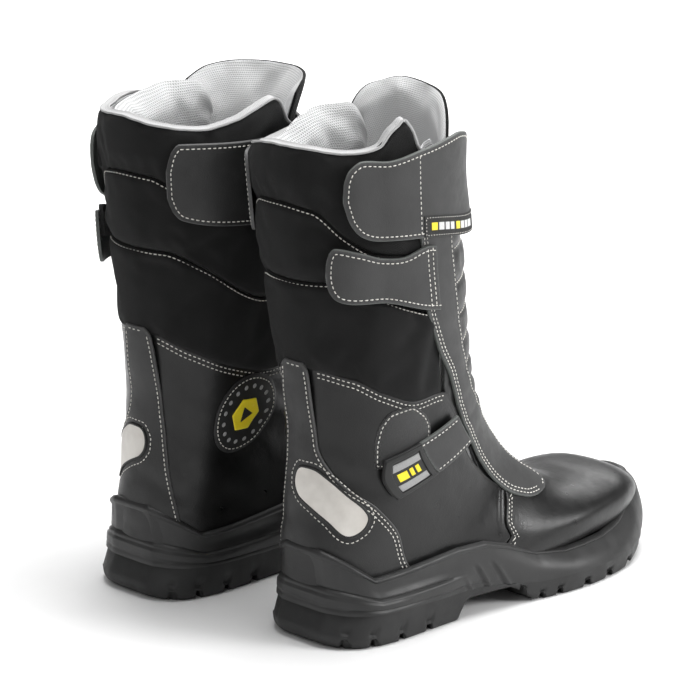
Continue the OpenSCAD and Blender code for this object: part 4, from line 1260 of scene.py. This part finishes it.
def build_front(boot, thread):
    rib_edges = RIB_FIRST + (RIB_LAST - RIB_FIRST) * np.arange(RIB_COUNT + 1) / RIB_COUNT
    seams = (rib_edges - GUARD_FIRST) / (GUARD_LAST - GUARD_FIRST)

    def outer(s, angle, d):
        fade = np.clip(np.cos(np.radians((angle - 4) * 90 / 66)), 0, 1) ** 0.5
        return -0.2 + 3.0 * fade * rib_wave(s) ** 0.7

    guard = cushion(boot, "shin_guard_padding", guard_place, outer, lambda s, a, d: -3.6 + 0 * s,
                    LOOKS["guard"], 4.0, seams=seams, free="outer", pressure=5.0, cap=1.8, growth=0.02)
    add(boot, guard, "shin_guard")
    # Soft leather that closes the instep below the guard, under the vamp and the inner quarter
    instep = sheet(-62, 56, [[-62, 6.4], [56, 6.4]], [[-62, 9.0], [56, 9.0]])
    add(boot, panel(boot, "instep_gusset", instep, (-3.4, -1.9), LOOKS["guard"], 3.0, leather_relief, 0.5))
    for s in rib_edges:
        angles = np.linspace(-50, 60 if s < 5.5 else 40, 200)
        thread.sew(np.stack([s + 0 * angles, angles], -1), lambda s, a, b: 0.25 + 0 * s)
    placket = strip(1.0, 9.85, PLACKET_FRONT, PLACKET_OUTER)

    def relief(s, angle, base):
        return 0.3 * ripples(base, 45, 23) + 0.7 * rib_wave(s) * smooth(80, 50, angle)

    add(boot, panel(boot, "placket_leather", placket, (0.7, 2.6), LOOKS["strap"], 2.2, relief, 0.7,
                    grooves=(2.4, 5.0)), "placket")
    top = lifted(2.5, relief)
    for gap in (2.4, 5.0):
        thread.sew(inset(edge_line(placket, "back", 0.02, 0.985, 800), gap), top)
    thread.sew(inset(edge_line(placket, "front", 0.02, 0.985, 800), -2.4), top)
    thread.sew(inset(edge_line(placket, "lower", 0.05, 0.95, 200), -2.4), top)


# Inner and outer lift of the straps
STRAP_LIFT = (3.4, 5.6)


def bend(boot, piece, a, b, s, angles):
    """Bakes the piece's placement into its mesh. a and b are not used, and nothing uses the places that s
    and angles give.
    """
    start, end = (boot.world(on_last(np.array(s), np.array(float(angle)), 4.0)) for angle in angles)
    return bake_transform(piece)


def hung(edge, boot, first):
    """The edge of a strap whose loose end hangs a little lower on the left boot."""
    return [[a, s + TIP_DROP[boot.side] * float(smooth(first, first + 25, a))] for a, s in edge]


def front_relief(s, angle, base):
    """The strap's front stands off the leg a little, and its lower front corner flares outwards."""
    flare = smooth(70, 40, angle) * smooth(1.2, 2.2, s)
    over_base = 2.3 * smooth(-30, -38, angle)
    return strap_relief(s, angle, base) + 2.5 * flare * smooth(-10, 20, angle) + over_base


def across(first, last, angle):
    """A straight seam across a strap, from section to section."""
    return np.stack([np.linspace(first, last, 100), np.full(100, float(angle))], -1)


def free_border(place):
    """The border of a strap but for its sewn or joined front end."""
    return np.concatenate([edge_line(place, "upper"), edge_line(place, "back"),
                           edge_line(place, "lower")[::-1]])


def flap(boot, name, node, stitches, place, fold, seams, relief=strap_relief, step=2.0, groove=3.0,
         closed_ends=(True, True, True, True)):
    """A strap panel with its stitched seams; fold is passed on to bend(), which bakes their placement."""
    piece = panel(boot, name, place, STRAP_LIFT, LOOKS["strap"], step, relief, 0.6, grooves=(groove,),
                  closed_ends=closed_ends)
    bend(boot, piece, *fold)
    dress(boot, node)
    sewn = Thread(boot, stitches)
    for seam in seams:
        sewn.sew(seam, lifted(STRAP_LIFT[1] - 0.05, relief))
    bend(boot, sewn.finish(LOOKS["thread"]), *fold)


def build_straps(boot):
    side, root = boot.side, boot.body
    front, end = f"{side}_top_strap_front", f"{side}_top_strap_end"
    middle, ankle = f"{side}_mid_strap_end", f"{side}_ankle_strap_end"

    # Top strap: sewn base, front part and hook-and-loop end
    upper = STRAP_TOPS[side]
    place = sheet(-148, -36, upper, TOP_STRAP_LOWER)
    add(boot, panel(boot, "top_strap_base_leather", place, STRAP_LIFT, LOOKS["overlay"], 2.0, strap_relief,
                    0.6, grooves=(3.0,)), "top_strap_base")
    sewn = Thread(boot, "stitches_top_base")
    for seam in (inset(outline(place), 3.0, True), across(0.78, 1.88, -100)):
        sewn.sew(seam, lifted(STRAP_LIFT[1] - 0.05, strap_relief))
    add(boot, sewn.finish(LOOKS["thread"]))

    place = sheet(-42, TIP_FOLD, shifted(upper, 0.03), shifted(TOP_STRAP_LOWER, -0.03))
    seams = [inset(edge_line(place, edge, 0.02, 1.0, 600), gap)
             for edge, gap in (("upper", 3.0), ("lower", -3.0))]
    flap(boot, "top_strap_leather", "top_strap", "stitches_top_front", place, (root, front, 1.3, (-42, -22)),
         seams, front_relief, closed_ends=(True, False, True, True))

    place = sheet(TIP_FOLD, 137, shifted(hung(upper, boot, 94), 0.03),
                  shifted(hung(TOP_STRAP_LOWER, boot, 94), -0.03))
    flap(boot, "top_strap_end_leather", "top_strap_tip", "stitches_top_end", place,
         (front, end, 1.1, (TIP_FOLD, TIP_FOLD + 9)),
         [inset(free_border(place), 3.0), across(0.55, 1.7, TIP_FOLD + 1.5)],
         closed_ends=(False, True, True, True))

    build_label(boot, front)

    place = sheet(MID_FOLD, 149, hung(MID_STRAP_UPPER, boot, 100), hung(MID_STRAP_LOWER, boot, 100))
    flap(boot, "mid_strap_leather", "mid_strap", "stitches_mid", place,
         (root, middle, 2.3, (MID_FOLD, MID_FOLD + 9)),
         [inset(free_border(place), 3.0)] + [across(1.92, 2.8, MID_FOLD + k) for k in (3, 6)])

    # Ankle strap and its moulded tab
    place = strip(5.05, 6.0, ANKLE_STRAP_FOLD, ANKLE_STRAP_JOIN)
    seams = [inset(edge_line(place, edge, 0.05, 1.0), gap)
             for edge, gap in (("upper", 2.6), ("lower", -2.6))]
    flap(boot, "ankle_strap_leather", "ankle_strap", "stitches_ankle", place, (root, ankle, 5.5, (68, 76)),
         seams, flat_relief, 1.6, 2.6)
    build_tab(boot, ankle)
    build_loop_pads(boot)


def build_label(boot, body):
    """The woven strip along the strap's lower edge, with plain coloured blocks."""
    place = sheet(36, 92, shifted(TOP_STRAP_LOWER, -0.35), shifted(TOP_STRAP_LOWER, -0.04))
    ribbon = panel(boot, "label_ribbon", place, (STRAP_LIFT[1] - 0.2, STRAP_LIFT[1] + 0.7), LOOKS["ribbon"],
                   1.6, front_relief, 0.3)
    add(boot, ribbon, "top_strap_label", body)
    sewn = Thread(boot, "stitches_label")
    line = lifted(STRAP_LIFT[1] + 0.62, front_relief)
    sewn.sew(inset(outline(place), 1.2, True), line, pitch=2.4, length=1.2, radius=0.3)
    add(boot, sewn.finish(LOOKS["thread"]), body=body)
    layer = (STRAP_LIFT[1] + 0.5, STRAP_LIFT[1] + 0.95)
    blocks = (("yellow", 0.86, 0.93), ("white", 0.77, 0.84), ("white", 0.69, 0.75), ("white", 0.61, 0.67),
              ("yellow", 0.50, 0.57), ("white", 0.41, 0.48), ("white", 0.33, 0.39), ("white", 0.22, 0.31))
    for k, (tint, first, last) in enumerate(blocks):
        def part(u, v, first=first, last=last):
            return place(first + (last - first) * u, 0.32 + 0.36 * v)
        block = panel(boot, f"label_block_{k}", part, layer, LOOKS[tint], 1.5, front_relief, 0.15)
        add(boot, block, body=body)


def build_tab(boot, body):
    """The moulded end of the ankle strap: a thick frame round a sunken field with two stripes."""
    whole = strip(5.05, 6.0, ANKLE_STRAP_JOIN, ANKLE_TAB_END)
    low, high = STRAP_LIFT[0], STRAP_LIFT[1] + 0.3
    add(boot, panel(boot, "ankle_tab_base", whole, (low, high), LOOKS["moulded"], 1.4, flat_relief, 0.8),
        "ankle_strap_tab", body)

    def part(first, last, top, bottom):
        return lambda u, v: whole(first + (last - first) * u, top + (bottom - top) * v)

    bars = {"frame_upper": (0.02, 0.98, 0.03, 0.12), "frame_lower": (0.02, 0.98, 0.88, 0.97),
            "frame_front": (0.03, 0.12, 0.03, 0.97), "frame_back": (0.80, 0.98, 0.03, 0.97)}
    for name, span in bars.items():
        bar = panel(boot, "ankle_tab_" + name, part(*span), (high - 0.4, high + 1.0), LOOKS["moulded"], 1.2,
                    flat_relief, 0.6)
        add(boot, bar, body=body)
    marks = {"stripe_upper": ("silver", 0.14, 0.78, 0.17, 0.34),
             "stripe_lower": ("silver", 0.14, 0.78, 0.68, 0.85),
             "mark_a": ("yellow", 0.22, 0.30, 0.41, 0.61), "mark_b": ("yellow", 0.35, 0.43, 0.41, 0.61),
             "mark_c": ("yellow", 0.48, 0.70, 0.41, 0.61)}
    for name, (tint, *span) in marks.items():
        mark = panel(boot, "ankle_tab_" + name, part(*span), (high - 0.3, high + 0.35), LOOKS[tint], 1.2,
                     flat_relief, 0.25)
        add(boot, mark, body=body)


def build_loop_pads(boot):
    pads = {"top": sheet(97, 131, shifted(STRAP_TOPS[boot.side], 0.17), shifted(TOP_STRAP_LOWER, -0.17)),
            "mid": sheet(96, 142, shifted(MID_STRAP_UPPER, 0.14), shifted(MID_STRAP_LOWER, -0.14)),
            "ankle": sheet(91, 127, ANKLE_PAD_UPPER, ANKLE_PAD_LOWER)}
    sewn = Thread(boot, "stitches_loop_pads")
    for name, place in pads.items():
        top = 1.5 if name == "ankle" else 3.0
        pad = panel(boot, f"loop_pad_{name}", place, (0.2, top), LOOKS["loop"], 1.8, strap_relief, 0.6,
                    grooves=(2.0,))
        add(boot, pad, "loop_pads")
        sewn.sew(inset(outline(place), 2.0, True), lifted(top - 0.1, strap_relief))
    add(boot, sewn.finish(LOOKS["thread"]))


# Looks of the hidden CAD pieces
INNER_LOOKS = {"shank": "steel", "penetration_plate": "plate", "insole_board": "board", "toe_cap": "shell",
               "heel_stiffener": "stiffener"}


def dress_inner_nodes(boot):
    """The hidden CAD pieces keep their shape and get a finished material."""
    for node, look in INNER_LOOKS.items():
        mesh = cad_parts[boot.name(node)].data
        mesh.materials.clear()
        mesh.materials.append(LOOKS[look])


def build_boot(boot):
    thread = Thread(boot, "stitches_shell")
    shape = SoleShape()
    add(boot, build_outsole(boot, shape), "outsole")
    add(boot, build_midsole(boot, shape), "midsole")
    build_uppers(boot, thread)
    build_back(boot, thread)
    build_badge(boot, thread)
    build_shaft(boot, thread)
    build_lining(boot)
    build_padding(boot)
    build_front(boot, thread)
    build_straps(boot)
    dress_inner_nodes(boot)
    add(boot, thread.finish(LOOKS["thread"]))


# ---- Stage ----

def build_stage():
    look = Look("studio_floor", Roughness=0.9, Specular_IOR_Level=0.1)
    grain = look.noise(look.place(), 0.02, 2.0)
    look.paint(look.blend(grain, 0.3, 0.7, grey(0.86), grey(0.88)))
    reach = 14.0
    mesh = bpy.data.meshes.new("floor")
    mesh.from_pydata([(-reach, -reach, 0), (reach, -reach, 0), (reach, reach, 0), (-reach, reach, 0)], [],
                     [(0, 1, 2, 3)])
    mesh.materials.append(look.material)
    floor = bpy.data.objects.new("floor", mesh)
    bpy.context.scene.collection.objects.link(floor)

    world = bpy.data.worlds.new("studio")
    bpy.context.scene.world = world
    world.use_nodes = True
    sky = world.node_tree.nodes["Background"]
    sky.inputs["Color"].default_value = (1, 1, 1, 1)
    sky.inputs["Strength"].default_value = 0.22

    def lamp(name, place, aim, size, power):
        data = bpy.data.lights.new(name, "AREA")
        data.shape = "RECTANGLE"
        data.size, data.size_y = size
        data.energy = power
        light = bpy.data.objects.new(name, data)
        bpy.context.scene.collection.objects.link(light)
        light.location = place
        way = np.array(aim) - np.array(place)
        light.rotation_euler = (np.arctan2(np.hypot(way[0], way[1]), -way[2]), 0,
                                np.arctan2(way[0], -way[1]) + np.pi)
        return light

    middle = (0, 0, 0.18)
    lamp("key", (1.7, 1.0, 1.0), middle, (0.8, 0.6), 32)
    lamp("fill", (0.6, -1.9, 1.5), middle, (1.2, 0.7), 6)
    lamp("top", (0.1, 0.1, 2.0), middle, (1.1, 1.1), 44)
    lamp("far", (-1.7, 1.8, 1.5), (-1.9, 2.0, 0), (3.0, 2.4), 95)

    camera = bpy.data.objects.new("camera", bpy.data.cameras.new("camera"))
    bpy.context.scene.collection.objects.link(camera)
    bpy.context.scene.camera = camera
    azimuth, elevation, lens = 45.24, 16.6, 218.9
    camera.data.lens = lens
    camera.data.sensor_width = 36
    boot = Boot("right")
    camera.location = tuple(boot.world(np.array([1886.6, -1822.0, 980.6])))
    camera.rotation_euler = (np.radians(90 - elevation), 0, np.radians(azimuth))
    bpy.context.scene.view_settings.view_transform = "Standard"


for side_name in SIDES:
    build_boot(Boot(side_name))
build_stage()
